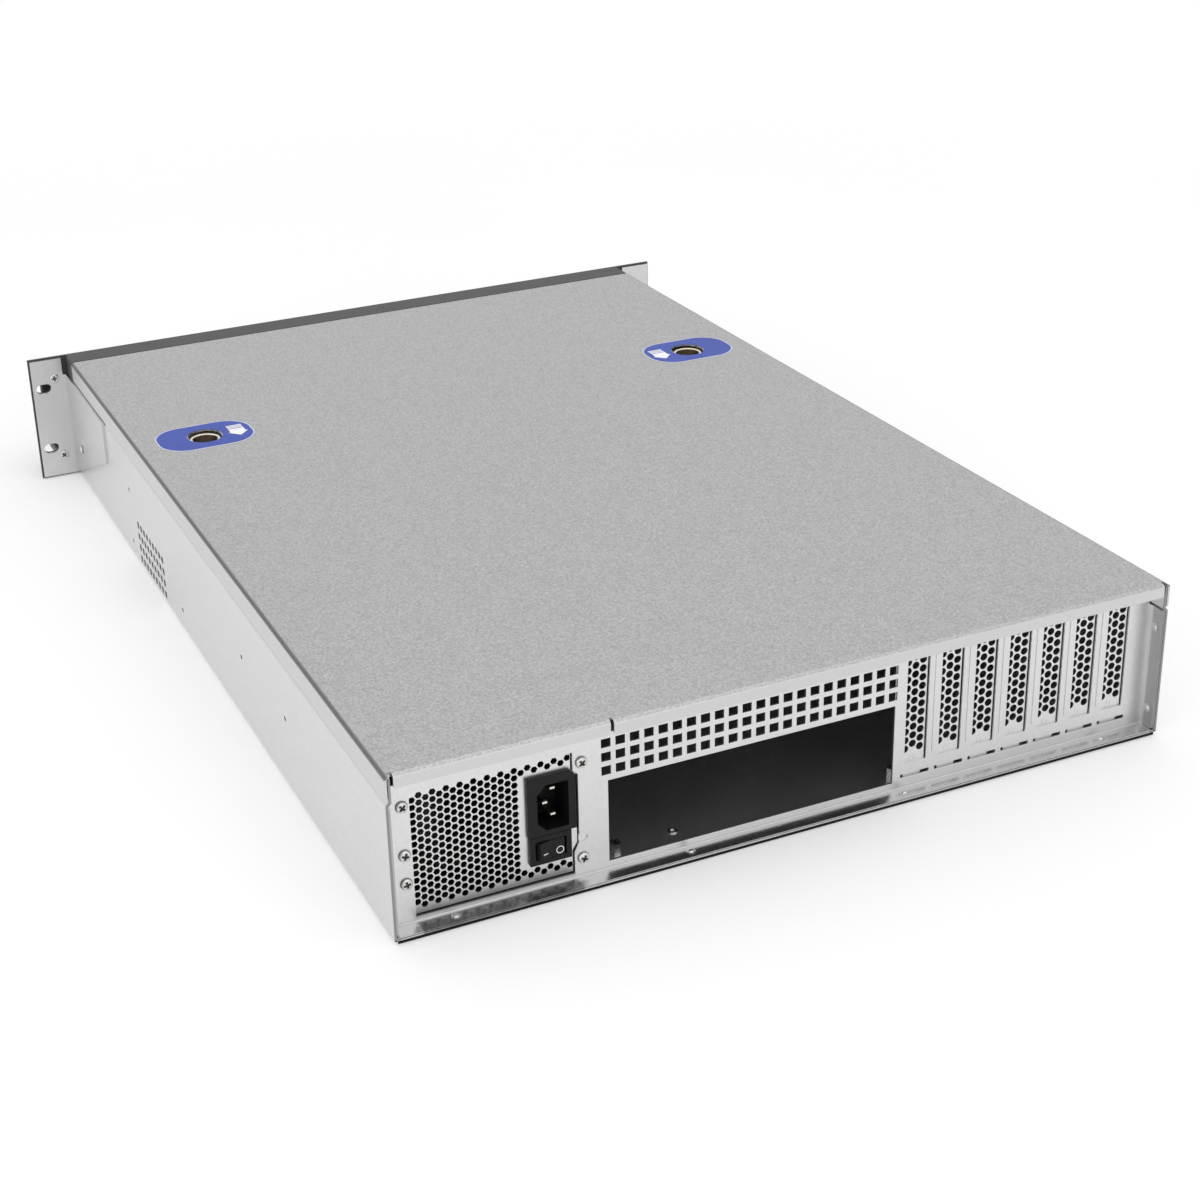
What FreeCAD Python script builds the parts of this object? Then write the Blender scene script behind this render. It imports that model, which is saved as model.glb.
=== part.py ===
import FreeCAD, Part
import math
import os

# A two-unit rackmount server case with a power supply fitted at its rear.
# The front, with the rack ears and handles, looks along -Y and the rear wall along +Y.
# X = 0 is the middle of the width and Z = 0 is the underside of the base.

V = FreeCAD.Vector

# Overall sizes, in millimetres
case_width = 430.0
case_height = 88.0
case_depth = 650.0
rack_width = 482.6
sheet = 1.2
bend = 0.6
gap = 0.4

# Top cover
cover_drop = 12.8
cover_bend = 0.9
cover_front = 19.5
lip_drop = 7.2
lip_shelf = 3.5
lip_split = 103.0
lip_notch = 1.4
lip_left_end = 4.6
lip_right_end = 3.4
lip_setback = 0.8
lip_corner = 1.6
cover_travel = 15.0
hook_length = 14.0
hook_reach = 4.3
hook_drop = 8.8
hook_rear = 60.0
hook_middle = 330.0
hook_front = 50.5

# Tray
tray_top_flange = 10.0
fold_flat = 0.8
joggle_gap = 0.6
sill_height = 8.0
corner_relief = 1.5
side_vent_columns = 9
side_vent_rows = 4
side_vent_pitch_y = 7.5
side_vent_pitch_z = 7.8
side_vent_size = 4.5
side_vent_from_rear = 406.2
side_vent_low = 5.6
side_hole = 1.6
side_holes = ((482.0, 48.0), (486.0, 10.5), (363.9, 12.9), (232.5, 41.5), (154.8, 41.6))

# Rear wall
wall_recess = 10.3
wall_flange_edge = 1.0
wall_top_edge = 2.6
wall_top_drop = 6.6
wall_shoulder_drop = 15.6
side_flange_corner = 2.0
rear_vent_columns = 22
rear_vent_rows = 3
rear_vent_pitch_x = 7.52
rear_vent_pitch_z = 7.35
rear_vent_width = 5.0
rear_vent_height = 4.7
rear_vent_inset = -0.75
rear_vent_drop = 24.9
io_width = 158.75
io_height = 44.45
io_from_psu = 8.35
io_low = 6.45
wall_rivet_x = (182.7, 59.8, -61.9, -183.3)
wall_rivet_z = (13.5, 61.2)
rivet_radius = 2.4
rivet_height = 1.2

# Expansion slots and their covers
slot_count = 7
slot_pitch = 20.32
slot_from_io = 19.7
slot_width = 13.1
slot_low = 16.3
slot_top_drop = 3.4
slit_width = 17.0
slit_low = 8.3
slit_height = 1.9
slit_offset = 2.0
rib_width = 2.4
rib_raise = 0.4
rib_offset = 4.4
rib_low = 19.5
rib_top_drop = 5.4
slot_cover_width = 18.4
slot_cover_sheet = 0.9
slot_cover_gap = 0.7
tongue_width = 10.2
tongue_offset = 2.3
tongue_low = 2.4
tongue_shoulder = 12.6
tongue_taper = 2.4
slot_hole_pitch_z = 12.3
slot_hole_pitch_x = 8.7
slot_hole_radius = 4.2
slot_hole_low = 23.6
slot_hole_rows = 4
slot_hole_side = 4.9
slot_screw_radius = 3.2
slot_screw_height = 2.0
slot_screw_inset = 3.8

# Power supply
psu_width = 100.0
psu_head_room = 18.0
psu_length = 190.0
psu_sheet = 1.0
psu_wall_gap = 5.3
psu_window_left = 40.8
psu_window_right = -40.3
psu_window_low = 4.4
psu_window_drop = 0.6
psu_window_step = 2.6
psu_step_drop = 9.6
psu_step_rise = 1.6
psu_notch_rise = 8.4
psu_notch_radius = 1.9
psu_notch_depth = 2.6
grille_pitch = 9.7
grille_hole = 4.5
grille_left = 36.3
grille_low = 12.2
grille_top_gap = 4.6
psu_screw_left = 44.6
psu_screw_left_high = 6.6
psu_screw_left_middle = 32.3
psu_screw_left_low = 47.5
psu_screw_right = -44.7
psu_screw_right_high = 6.8
psu_screw_right_low = 58.9
screw_radius = 2.9
screw_height = 1.8
psu_fan_inset = 10.0
psu_fan_depth = 25.0

# The power supply's circuit board
board_lift = 6.0
board_sheet = 1.6
board_right_gap = 8.0
board_left_gap = 5.0
board_end_gap = 8.0
board_foot = 4.0
transformer_length = 34.0
transformer_height = 34.0
transformer_from_end = 40.0
sink_sheet = 3.0
sink_inset = 12.0
sink_height = 44.0
choke_width = 22.0
choke_length = 26.0
choke_height = 26.0
choke_inset = 6.0
capacitor_radius = 10.0
capacitor_height = 38.0
capacitor_pitch = 26.0

# Mains inlet and rocker switch
bezel_stand = 2.2
inlet_left = -16.5
inlet_right = -41.4
inlet_height = 31.8
inlet_drop = 9.0
inlet_bevel = 3.0
inlet_body_margin = 2.6
inlet_depth = 19.0
cavity_inset = 5.0
cavity_width = 15.9
cavity_rise = 2.6
cavity_height = 24.2
cavity_chamfer = 4.4
cavity_depth = 16.5
pin_recess = 4.8
pin_width = 4.0
pin_height = 2.0
pin_spacing = 14.0
pin_earth_offset = 4.0
pin_line_inset = 9.8
switch_left = -17.1
switch_right = -38.6
switch_height = 15.2
switch_gap = 0.2
switch_body_margin = 1.2
switch_depth = 14.0
switch_floor = 1.5
rocker_radius = 7.6
rocker_height = 9.2
rocker_pivot_depth = 3.2
rocker_half_turn = 7.0
rocker_gap = 0.3
rocker_pin = 1.15
rocker_pin_reach = 0.8
rocker_pin_gap = 0.15

# Cover latches
latch_from_side = 44.6
latch_from_ear = 202.0
latch_hole_width = 20.8
latch_hole_length = 25.0
label_length = 61.6
label_width = 42.0
label_sheet = 0.25
label_margin = 0.6
button_radius = 9.6
button_sides = 12
button_below_cover = 0.5
button_wall = 1.6
button_dish = 4.0
button_length = 10.3
button_flange = 1.9
button_flange_sheet = 1.5
button_travel = 4.0
bar_width = 44.0
bar_drop = 14.9
bar_gap = 1.9
seat_drop = 12.5
seat_width = 24.0
spring_sheet = 0.5
spring_width = 9.0
spring_steps = 10

# Front panel, ears and handles
panel_sheet = 2.0
ear_sheet = 1.5
ear_edge = 1.0
ear_flange_length = 111.0
ear_flange_rear_low = 46.0
ear_flange_corner = 4.0
ear_notch = 3.5
rack_hole_from_edge = 8.75
rack_hole_spacing_z = 44.45
rack_hole_length = 10.6
rack_hole_width = 6.8
ear_screw = (29.7, 27.6)
handle_spacing = 57.3
handle_x = 224.5
handle_reach = 36.0
handle_bar = 6.0
handle_width = 9.0
handle_radius = 6.0
handle_screw_radius = 3.4
handle_screw_height = 0.8

# Drive bays, front vents and controls
bay_from_side = 11.0
bay_width = 148.0
bay_low = 3.0
cage_top_gap = 0.2
bay_step = 0.8
bay_cover_rim = 9.0
bay_cover_wall = 2.0
cage_length = 150.0
cage_foot = 8.0
cage_slot_length = 60.0
cage_slot_height = 6.0
front_vent_columns = 3
front_vent_rows = 5
front_vent_left = -38.0
front_vent_low = 16.0
front_vent_length = 54.0
front_vent_height = 6.4
front_vent_pitch_x = 62.0
front_vent_pitch_z = 12.6
control_from_side = 31.0
power_z = 68.0
power_radius = 6.0
reset_z = 51.0
reset_radius = 2.8
key_stand = 1.5
key_flange = 1.4
key_flange_sheet = 1.4
key_length = 6.5
key_travel = 1.5
lamp_z = 40.0
lamp_pitch = 9.0
lamp_radius = 1.6
usb_z = (27.0, 15.0)
usb_width = 13.2
usb_height = 5.8
usb_wall = 0.4
usb_tongue = 1.8
control_board_width = 36.0
control_board_low = 8.0
control_board_top_gap = 8.0
control_board_set = 12.0
control_spacer = 4.0
key_switch_size = 6.0
key_sides = 10

# Fans and fan wall
fan_head_room = 8.0
fan_depth = 25.0
fan_bore = 0.475
fan_hub = 0.19
fan_seat = 0.2
fan_tip = 0.44
fan_blades = 7
fan_pitch = 120.0
fan_floor_gap = 0.8
fan_wall_gap = 4.0
blade_sheet = 1.0
blade_margin = 3.0
shaft_radius = 3.0
strut_width = 3.0
seat_sheet = 2.0
fan_wall_foot = 12.0

# Motherboard posts
post_left_x = 92.5
post_middle_x = -65.0
post_right_x = -189.4
post_first_row = 10.9
post_second_row = 165.8
post_third_row = 238.2
post_height = 6.5
post_radius = 3.0
post_bore = 1.25
post_floor = 1.0
bore_sides = 16
corner_steps = 4

# Places worked out from the sizes above
half = case_width / 2
front_reach = panel_sheet + handle_reach
rear_y = (case_depth + front_reach) / 2
ear_y = rear_y - case_depth
wall_y = rear_y - wall_recess
wall_inner_y = wall_y - sheet
upper_outer = half - sheet - gap
upper_inner = upper_outer - sheet
tray_top = case_height - sheet
cover_low = case_height - cover_drop
cover_under = case_height - sheet
wall_top = case_height - wall_top_drop
wall_shoulder = case_height - wall_shoulder_drop
slot_top = wall_top - slot_top_drop
rib_high = wall_top - rib_top_drop
latch_x = half - latch_from_side
latch_y = ear_y + latch_from_ear
bar_top = cover_under - bar_gap
bar_low = bar_top - bar_drop
bar_front_y = latch_y - bar_width / 2
bar_rear_y = latch_y + bar_width / 2
seat_z = bar_top - sheet - seat_drop
psu_low = sheet
psu_height = case_height - psu_head_room
psu_top = psu_low + psu_height
psu_left = half - psu_wall_gap
psu_right = psu_left - psu_width
psu_middle = psu_left - psu_width / 2
psu_fan_size = psu_height - psu_fan_inset
inlet_high = psu_top - inlet_drop
inlet_low = inlet_high - inlet_height
switch_high = inlet_low - switch_gap
switch_low = switch_high - switch_height
io_left = psu_right - io_from_psu
io_right = io_left - io_width
slot_right = io_right - slot_from_io
psu_front_y = wall_inner_y - psu_length
bezel_y = wall_inner_y + bezel_stand
fan_wall_y = bar_front_y
fan_low = sheet + fan_floor_gap
fan_size = case_height - fan_head_room
fan_middle_z = fan_low + fan_size / 2
rack_middle_z = case_height / 2
rack_hole_x = rack_width / 2 - rack_hole_from_edge
hooks_y = (rear_y - hook_rear, rear_y - hook_middle, ear_y + cover_front + hook_front)
bay_left = bay_from_side - half
bay_height = (tray_top - 2 * sheet - cage_top_gap - bay_low - bay_step) / 2
control_x = half - control_from_side
control_board_high = case_height - control_board_top_gap
post_columns = (post_left_x, post_middle_x, post_right_x)
post_rows = tuple(wall_inner_y - v for v in (post_first_row, post_second_row, post_third_row))


def point(u, v, plane, at):
    """A point of a plane, in space: at is the place along the plane's normal."""
    if plane == "xy":
        return V(u, v, at)
    if plane == "xz":
        return V(u, at, v)
    return V(at, u, v)


def loop(points, plane, at, radius=0.0, radii=None):
    """A closed wire through points, with its corners rounded by arcs."""
    count = len(points)
    radii = radii or [radius] * count
    starts, ends, middles = [], [], []
    for i in range(count):
        corner = V(points[i][0], points[i][1], 0)
        before = V(points[i - 1][0], points[i - 1][1], 0) - corner
        after = V(points[(i + 1) % count][0], points[(i + 1) % count][1], 0) - corner
        before.normalize()
        after.normalize()
        half_angle = before.getAngle(after) / 2
        if radii[i] <= 0 or half_angle < 1e-3 or half_angle > math.pi / 2 - 1e-3:
            starts.append(corner)
            ends.append(corner)
            middles.append(None)
            continue
        reach = radii[i] / math.tan(half_angle)
        toward = before + after
        toward.normalize()
        centre = corner + toward * (radii[i] / math.sin(half_angle))
        starts.append(corner + before * reach)
        ends.append(corner + after * reach)
        middles.append(centre - toward * radii[i])
    edges = []
    for i in range(count):
        if middles[i] is not None:
            arc = [point(p.x, p.y, plane, at) for p in (starts[i], middles[i], ends[i])]
            edges.append(Part.Arc(*arc).toShape())
        after = starts[(i + 1) % count]
        if (after - ends[i]).Length > 1e-6:
            line = [point(p.x, p.y, plane, at) for p in (ends[i], after)]
            edges.append(Part.makeLine(*line))
    return Part.Wire(edges)


def raise_face(wires, plane, start, end):
    """The solid between start and end of a face that has the first wire outside and the others as holes."""
    face = Part.makeFace(wires, "Part::FaceMakerBullseye")
    travel = point(0, 0, plane, end) - point(0, 0, plane, start)
    return face.extrude(travel)


def prism(points, plane, start, end, radius=0.0, radii=None):
    """A straight prism on an outline."""
    return raise_face([loop(points, plane, start, radius, radii)], plane, start, end)


def rectangle(u0, u1, v0, v1):
    """Corners of a rectangle."""
    return [(u0, v0), (u1, v0), (u1, v1), (u0, v1)]


def block(x0, x1, y0, y1, z0, z1):
    """A box between two corners."""
    return Part.makeBox(x1 - x0, y1 - y0, z1 - z0, V(x0, y0, z0))


def polygon(u, v, radius, sides, turn=0.0):
    """Corners of a regular polygon; turn is in degrees."""
    angles = [math.radians(turn) + 2 * math.pi * k / sides for k in range(sides)]
    return [(u + radius * math.cos(a), v + radius * math.sin(a)) for a in angles]


def strip(path, plane, start, end, thickness, inner_radius, sharp=()):
    """A folded sheet: path runs along one face, the sheet lies on its left, and sharp lists unrounded folds."""
    normals = []
    for (u0, v0), (u1, v1) in zip(path, path[1:]):
        length = math.hypot(u1 - u0, v1 - v0)
        normals.append((-(v1 - v0) / length, (u1 - u0) / length))
    other, near_radii, far_radii = [], [], []
    for i, (u, v) in enumerate(path):
        n0 = normals[max(i - 1, 0)]
        n1 = normals[min(i, len(normals) - 1)]
        scale = thickness / (1 + n0[0] * n1[0] + n0[1] * n1[1])
        other.append((u + (n0[0] + n1[0]) * scale, v + (n0[1] + n1[1]) * scale))
        turn = n0[0] * n1[1] - n0[1] * n1[0]
        straight = abs(turn) < 1e-6 or i in sharp
        near_radii.append(0.0 if straight else inner_radius + (thickness if turn > 0 else 0))
        far_radii.append(0.0 if straight else inner_radius + (0 if turn > 0 else thickness))
    outline = list(path) + other[::-1]
    return prism(outline, plane, start, end, radii=near_radii + far_radii[::-1])


def slot_outline(u, v, length, width, sides=6):
    """Corners of a slot with round ends, its length along the plane's first axis."""
    radius = width / 2
    reach = (length - width) / 2
    points = []
    for end in (0, 1):
        for k in range(sides + 1):
            angle = math.pi * (end + k / sides - 0.5)
            points.append((u + reach * (1 - 2 * end) + radius * math.cos(angle), v + radius * math.sin(angle)))
    return points


def drum(x, z, y0, y1, radius, sides=bore_sides):
    """A round solid or cutter along Y, with flats in place of its arc."""
    return prism(polygon(x, z, radius, sides), "xz", y0, y1)


def softened(points, radii, steps):
    """Corners with each radius replaced by a few straight steps, for small pieces with few facets."""
    result = []
    count = len(points)
    for i in range(count):
        corner = V(points[i][0], points[i][1], 0)
        before = (V(points[i - 1][0], points[i - 1][1], 0) - corner).normalize()
        after = (V(points[(i + 1) % count][0], points[(i + 1) % count][1], 0) - corner).normalize()
        if radii[i] <= 0:
            result.append(points[i])
            continue
        half_angle = before.getAngle(after) / 2
        toward = (before + after).normalize()
        centre = corner + toward * (radii[i] / math.sin(half_angle))
        start = corner + before * (radii[i] / math.tan(half_angle)) - centre
        sweep = math.pi - 2 * half_angle
        turn = 1 if (before.x * after.y - before.y * after.x) < 0 else -1
        for k in range(steps + 1):
            angle = turn * sweep * k / steps
            result.append((centre.x + start.x * math.cos(angle) - start.y * math.sin(angle),
                           centre.y + start.x * math.sin(angle) + start.y * math.cos(angle)))
    return result


def mirrored(shape):
    """The same piece on the other side of the case."""
    return shape.mirror(V(0, 0, 0), V(1, 0, 0))


def joined(shapes):
    """One solid out of pieces that meet or overlap."""
    return shapes[0].fuse(shapes[1:]).removeSplitter()


def chassis_tray():
    """The base and both side walls, folded from one sheet, with its walls stepped in under the cover."""
    joggle_top = cover_low - joggle_gap
    joggle_low = joggle_top - sheet - gap
    side = [
        (half, 0.0),
        (half, joggle_low),
        (upper_outer, joggle_top),
        (upper_outer, tray_top - fold_flat),
        (upper_outer - fold_flat, tray_top),
        (upper_outer - tray_top_flange, tray_top),
    ]
    path = [(-x, z) for x, z in side[::-1]] + side
    body = strip(path, "xz", ear_y, rear_y, sheet, bend, sharp=(1, 2, 3, 4, 7, 8, 9, 10))
    sill = block(bay_left + bay_width + sheet, half - 2 * sheet, ear_y, ear_y + sheet, sheet / 2, sill_height)
    body = joined([body, sill])
    lip_room = rear_y - lip_shelf
    cutters = [block(-upper_inner, upper_inner, lip_room, rear_y + 1, wall_top, case_height)]
    for sign in (-1, 1):
        inner, outer = sorted((sign * (upper_inner - hook_reach), sign * (half + 1)))
        edge = sorted((sign * (half - corner_relief), sign * (half + 1)))
        cutters.append(block(edge[0], edge[1], rear_y - corner_relief, rear_y + 1, -1, corner_relief))
        for y in hooks_y:
            hook_z = case_height - hook_drop
            cutters.append(block(inner, outer, y - hook_length / 2 - gap,
                                 y + hook_length / 2 + cover_travel + gap, hook_z - gap, hook_z + sheet + gap))
            cutters.append(block(inner, outer, y - hook_length / 2 + cover_travel - gap,
                                 y + hook_length / 2 + cover_travel + gap, hook_z - gap, case_height))
    inside, outside = half - 2 * sheet, half + 1
    for column in range(side_vent_columns):
        y = rear_y - side_vent_from_rear - column * side_vent_pitch_y
        for row in range(side_vent_rows):
            z = side_vent_low + row * side_vent_pitch_z
            square = polygon(y, z, side_vent_size / math.sqrt(2), 4, 45)
            cutters.append(prism(square, "yz", inside, outside))
    for from_rear, z in side_holes:
        cutters.append(prism(polygon(rear_y - from_rear, z, side_hole, 6), "yz", inside, outside))
    return body.cut(cutters)


def psu_window():
    """Outline of the power supply's window, with its step and the half-round notch, in X and Z."""
    left = psu_middle + psu_window_left
    inner = psu_middle + psu_window_right
    right = inner - psu_window_step
    notch = right - psu_notch_depth - psu_notch_radius
    notch_z = switch_low + psu_notch_rise
    low, high = notch_z - psu_notch_radius, notch_z + psu_notch_radius
    top = psu_top - psu_window_drop
    step_high = top - psu_step_drop
    points = [
        (left, psu_window_low),
        (left, top),
        (inner, top),
        (inner, step_high),
        (right, step_high - psu_window_step),
        (right, high),
        (notch, high),
        (notch, low),
        (right, low),
        (inner, switch_low + psu_step_rise),
        (inner, psu_window_low),
    ]
    radii = [0.0] * len(points)
    radii[6] = radii[7] = psu_notch_radius - 1e-4
    return points, radii


def rear_wall():
    """The recessed rear wall, with flanges folded rearward onto the base, the side walls and under the cover."""
    path = [
        (rear_y - wall_flange_edge, 2 * sheet),
        (wall_y, 2 * sheet),
        (wall_y, wall_top - sheet),
        (rear_y - wall_top_edge, wall_top - sheet),
    ]
    inside = half - sheet
    body = strip(path, "yz", -inside, inside, sheet, bend)
    flange = rectangle(wall_inner_y, rear_y - wall_flange_edge, 2 * sheet, wall_shoulder)
    flange_radii = [0, side_flange_corner, side_flange_corner, 0]
    sides = [prism(flange, "yz", x, x + sheet, radii=flange_radii) for x in (-inside, inside - sheet)]
    ribs = []
    for k in range(slot_count - 1):
        x = slot_right - rib_offset - k * slot_pitch
        stadium = rectangle(x - rib_width / 2, x + rib_width / 2, rib_low, rib_high)
        ribs.append(prism(stadium, "xz", wall_y - sheet / 2, wall_y + rib_raise))
    body = joined([body] + sides + ribs)
    y0, y1 = wall_inner_y - 1, wall_y + 1
    cutters = []
    for sign in (-1, 1):
        corner = sorted((sign * (upper_inner - gap), sign * (half + 1)))
        cutters.append(block(corner[0], corner[1], wall_inner_y - 1, rear_y + 1, wall_shoulder, case_height))
    points, radii = psu_window()
    cutters.append(prism(points, "xz", y0, y1, radii=radii))
    cutters.append(block(io_right, io_right + io_width, y0, y1, io_low, io_low + io_height))
    for column in range(rear_vent_columns):
        x = io_left - rear_vent_inset - column * rear_vent_pitch_x
        for row in range(rear_vent_rows):
            z = wall_top - rear_vent_drop + row * rear_vent_pitch_z
            cutters.append(block(x - rear_vent_width / 2, x + rear_vent_width / 2, y0, y1,
                                 z - rear_vent_height / 2, z + rear_vent_height / 2))
    for k in range(slot_count):
        right = slot_right - k * slot_pitch
        cutters.append(block(right, right + slot_width, y0, y1, slot_low, slot_top))
        slit = right - slit_offset
        cutters.append(block(slit, slit + slit_width, y0, y1, slit_low, slit_low + slit_height))
    return body.cut(cutters)


def slot_cover(k):
    """One perforated low-profile slot cover, with its foot tongue and its screw tab folded rearward."""
    right = slot_right - k * slot_pitch + slot_cover_gap
    left = right + slot_cover_width
    tongue = (left + right) / 2 - tongue_offset
    tab_top = wall_top + slot_cover_sheet
    outline = [
        (left, tab_top),
        (left, tongue_shoulder),
        (tongue + tongue_width / 2, tongue_shoulder - tongue_taper),
        (tongue + tongue_width / 2, tongue_low),
        (tongue - tongue_width / 2, tongue_low),
        (tongue - tongue_width / 2, tongue_shoulder - tongue_taper),
        (right, tongue_shoulder),
        (right, tab_top),
    ]
    y1 = wall_inner_y
    y0 = y1 - slot_cover_sheet
    wires = [loop(outline, "xz", y0)]
    for column in range(2):
        x = right + slot_hole_side + column * slot_hole_pitch_x
        for row in range(slot_hole_rows):
            z = slot_hole_low + (row + column / 2) * slot_hole_pitch_z
            wires.append(loop(polygon(x, z, slot_hole_radius, 4), "xz", y0))
    body = raise_face(wires, "xz", y0, y1)
    tab = block(right, left, y0, rear_y - wall_top_edge, wall_top, tab_top)
    return joined([body, tab])


def screw_head(u, v, plane, start, radius, height, sides=6):
    """A screw's or rivet's head on its seat; a negative height faces the other way."""
    return prism(polygon(u, v, radius, sides), plane, start, start + height)


def slot_screws():
    """The seven screws that hold the slot covers' tabs."""
    heads = []
    for k in range(slot_count):
        x = slot_right - k * slot_pitch + slot_cover_gap + slot_cover_width / 2
        y = rear_y - wall_top_edge - slot_screw_inset
        seat = wall_top + slot_cover_sheet
        heads.append(screw_head(x, y, "xy", seat, slot_screw_radius, slot_screw_height))
    return Part.makeCompound(heads)


def wall_rivets():
    """Domed rivets in the rear wall's flanges."""
    y = rear_y - (wall_recess + wall_flange_edge) / 2
    heads = [screw_head(x, y, "xy", 2 * sheet, rivet_radius, rivet_height) for x in wall_rivet_x]
    inside = half - 2 * sheet
    for z in wall_rivet_z:
        heads.append(screw_head(y, z, "yz", inside, rivet_radius, -rivet_height))
        heads.append(screw_head(y, z, "yz", -inside, rivet_radius, rivet_height))
    return Part.makeCompound(heads)


def top_cover():
    """The sliding cover: one sheet with side flanges, two rear lips, inward hooks and two latch holes."""
    front_y = ear_y + cover_front
    path = [(half, cover_low), (half, case_height), (-half, case_height), (-half, cover_low)]
    body = strip(path, "xz", front_y, rear_y, sheet, cover_bend)
    left_end = half - lip_left_end
    right_end = -half + lip_right_end
    open_edge = half - sheet - cover_bend
    rear_cut = block(-open_edge, open_edge, rear_y - lip_shelf, rear_y + 1, cover_low, case_height + 1)
    holes = [rear_cut]
    for sign in (-1, 1):
        hole = slot_outline(latch_y, sign * latch_x, latch_hole_length, latch_hole_width, 7)
        holes.append(prism([(x, y) for y, x in hole], "xy", cover_under - 1, case_height + 1))
    body = body.cut(holes)
    lip_low = case_height - lip_drop
    lips = []
    for x0, x1, y in ((lip_split + lip_notch / 2, left_end, rear_y - lip_setback),
                      (right_end, lip_split - lip_notch / 2, rear_y)):
        lip_path = [(y, lip_low), (y, case_height), (rear_y - lip_shelf, case_height)]
        lip = strip(lip_path, "yz", x0, x1, sheet, cover_bend)
        corners = []
        for x, inward in ((x0, 1), (x1, -1)):
            corner = [(x - inward, lip_low - 1), (x + inward * lip_corner, lip_low - 1), (x - inward, lip_low + lip_corner)]
            corners.append(prism(corner, "xz", rear_y - 2 * lip_shelf, rear_y + 1))
        lips.append(lip.cut(corners))
    hooks = []
    for sign in (-1, 1):
        x0, x1 = sorted((sign * (half - sheet / 2), sign * (half - sheet - hook_reach)))
        for y in hooks_y:
            z = case_height - hook_drop
            hooks.append(block(x0, x1, y - hook_length / 2, y + hook_length / 2, z, z + sheet))
    return joined([body] + lips + hooks)


def latch_label(sign):
    """The stadium-shaped label round one latch hole."""
    x = sign * latch_x
    edge = slot_outline(x, latch_y, label_length, label_width, 9)
    hole = slot_outline(latch_y, x, latch_hole_length + 2 * label_margin, latch_hole_width + 2 * label_margin, 7)
    wires = [loop(edge, "xy", case_height), loop([(u, v) for v, u in hole], "xy", case_height)]
    return raise_face(wires, "xy", case_height, case_height + label_sheet)


def latch_button(sign):
    """A dished push button with the flange that keeps it under the cross-bar."""
    top = cover_under - button_below_cover
    flange_high = bar_top - sheet
    flange_low = top - button_length
    x = sign * latch_x

    def ring(radius, z):
        return loop(polygon(x, latch_y, radius, button_sides), "xy", z)

    stem = raise_face([ring(button_radius, flange_low)], "xy", flange_low, top)
    flange = raise_face([ring(button_radius + button_flange, flange_high)], "xy", flange_high,
                        flange_high - button_flange_sheet)
    dish = raise_face([ring(button_radius - button_wall, top)], "xy", top, top - button_dish)
    return joined([stem, flange]).cut(dish)


def latch_seat(sign):
    """The folded strap under the cross-bar that carries a latch's spring."""
    y0, y1 = bar_front_y + sheet, bar_rear_y - sheet
    high = (seat_z + bar_top) / 2
    path = [(y0, high), (y0, seat_z - sheet), (y1, seat_z - sheet), (y1, high)]
    x = sign * latch_x
    return strip(path, "yz", x - seat_width / 2, x + seat_width / 2, sheet, 0.0)


def bow_spring(sign):
    """The bowed leaf spring between a strap and its button."""
    crest = cover_under - button_below_cover - button_length
    rise = crest - spring_sheet - seat_z
    low = []
    for k in range(spring_steps + 1):
        t = 2 * k / spring_steps - 1
        low.append((latch_y + t * button_radius, seat_z + rise * (1 - t * t)))
    outline = low + [(y, z + spring_sheet) for y, z in low[::-1]]
    x = sign * latch_x
    return prism(outline, "yz", x - spring_width / 2, x + spring_width / 2)


def cross_bar():
    """The channel across the case that carries both latches under the cover."""
    path = [(bar_rear_y, bar_low), (bar_rear_y, bar_top), (bar_front_y, bar_top), (bar_front_y, bar_low)]
    body = strip(path, "yz", -upper_inner, upper_inner, sheet, 0.0)
    holes = []
    for sign in (-1, 1):
        hole = polygon(sign * latch_x, latch_y, (button_radius + gap) / math.cos(math.pi / button_sides), button_sides)
        holes.append(prism(hole, "xy", bar_top - 2 * sheet, bar_top + sheet))
    return body.cut(holes)


def in_inlet_zone(x, z, margin):
    """Whether a grille opening would run into the inlet or the switch."""
    from_middle = x - psu_middle
    in_inlet = from_middle < inlet_left + margin and inlet_low - margin < z < inlet_high + margin
    in_switch = from_middle < switch_left + margin and switch_low - margin < z < switch_high + margin
    return in_inlet or in_switch


def psu_case():
    """The power supply's folded base: floor, hexagon grille at the rear and fan end at the front."""
    inner_left = psu_left - psu_sheet
    inner_right = psu_right + psu_sheet
    high = psu_top - psu_sheet
    y1 = wall_inner_y
    y0 = y1 - psu_sheet
    wires = [loop(rectangle(inner_right, inner_left, psu_low, high), "xz", y0)]
    g = gap / 2
    for x0, x1, z0, z1 in (inlet_body(), switch_body()):
        wires.append(loop(rectangle(x0 - g, x1 + g, z0 - g, z1 + g), "xz", y0))
    column_step = grille_pitch * math.sqrt(3) / 2
    columns = int((grille_left - psu_window_right) / column_step) + 1
    low, high = psu_low - sheet + grille_low, psu_top - psu_window_drop - grille_top_gap
    rows = int((high - low) / grille_pitch) + 1
    for column in range(columns):
        x = psu_middle + grille_left - column * column_step
        for row in range(rows):
            z = low + (row + (column % 2) / 2) * grille_pitch
            if z > high or in_inlet_zone(x, z, grille_hole + gap):
                continue
            wires.append(loop(polygon(x, z, grille_hole, 6), "xz", y0))
    rear = raise_face(wires, "xz", y0, y1)
    floor = block(inner_right, inner_left, psu_front_y, y1, psu_low, psu_low + psu_sheet)
    front = block(inner_right, inner_left, psu_front_y, psu_front_y + psu_sheet, psu_low, high)
    eye = drum(psu_middle, psu_low + psu_height / 2, psu_front_y - 1, psu_front_y + psu_sheet + 1, psu_fan_size * 0.46)
    front = front.cut(eye)
    return joined([rear, floor, front])


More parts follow.
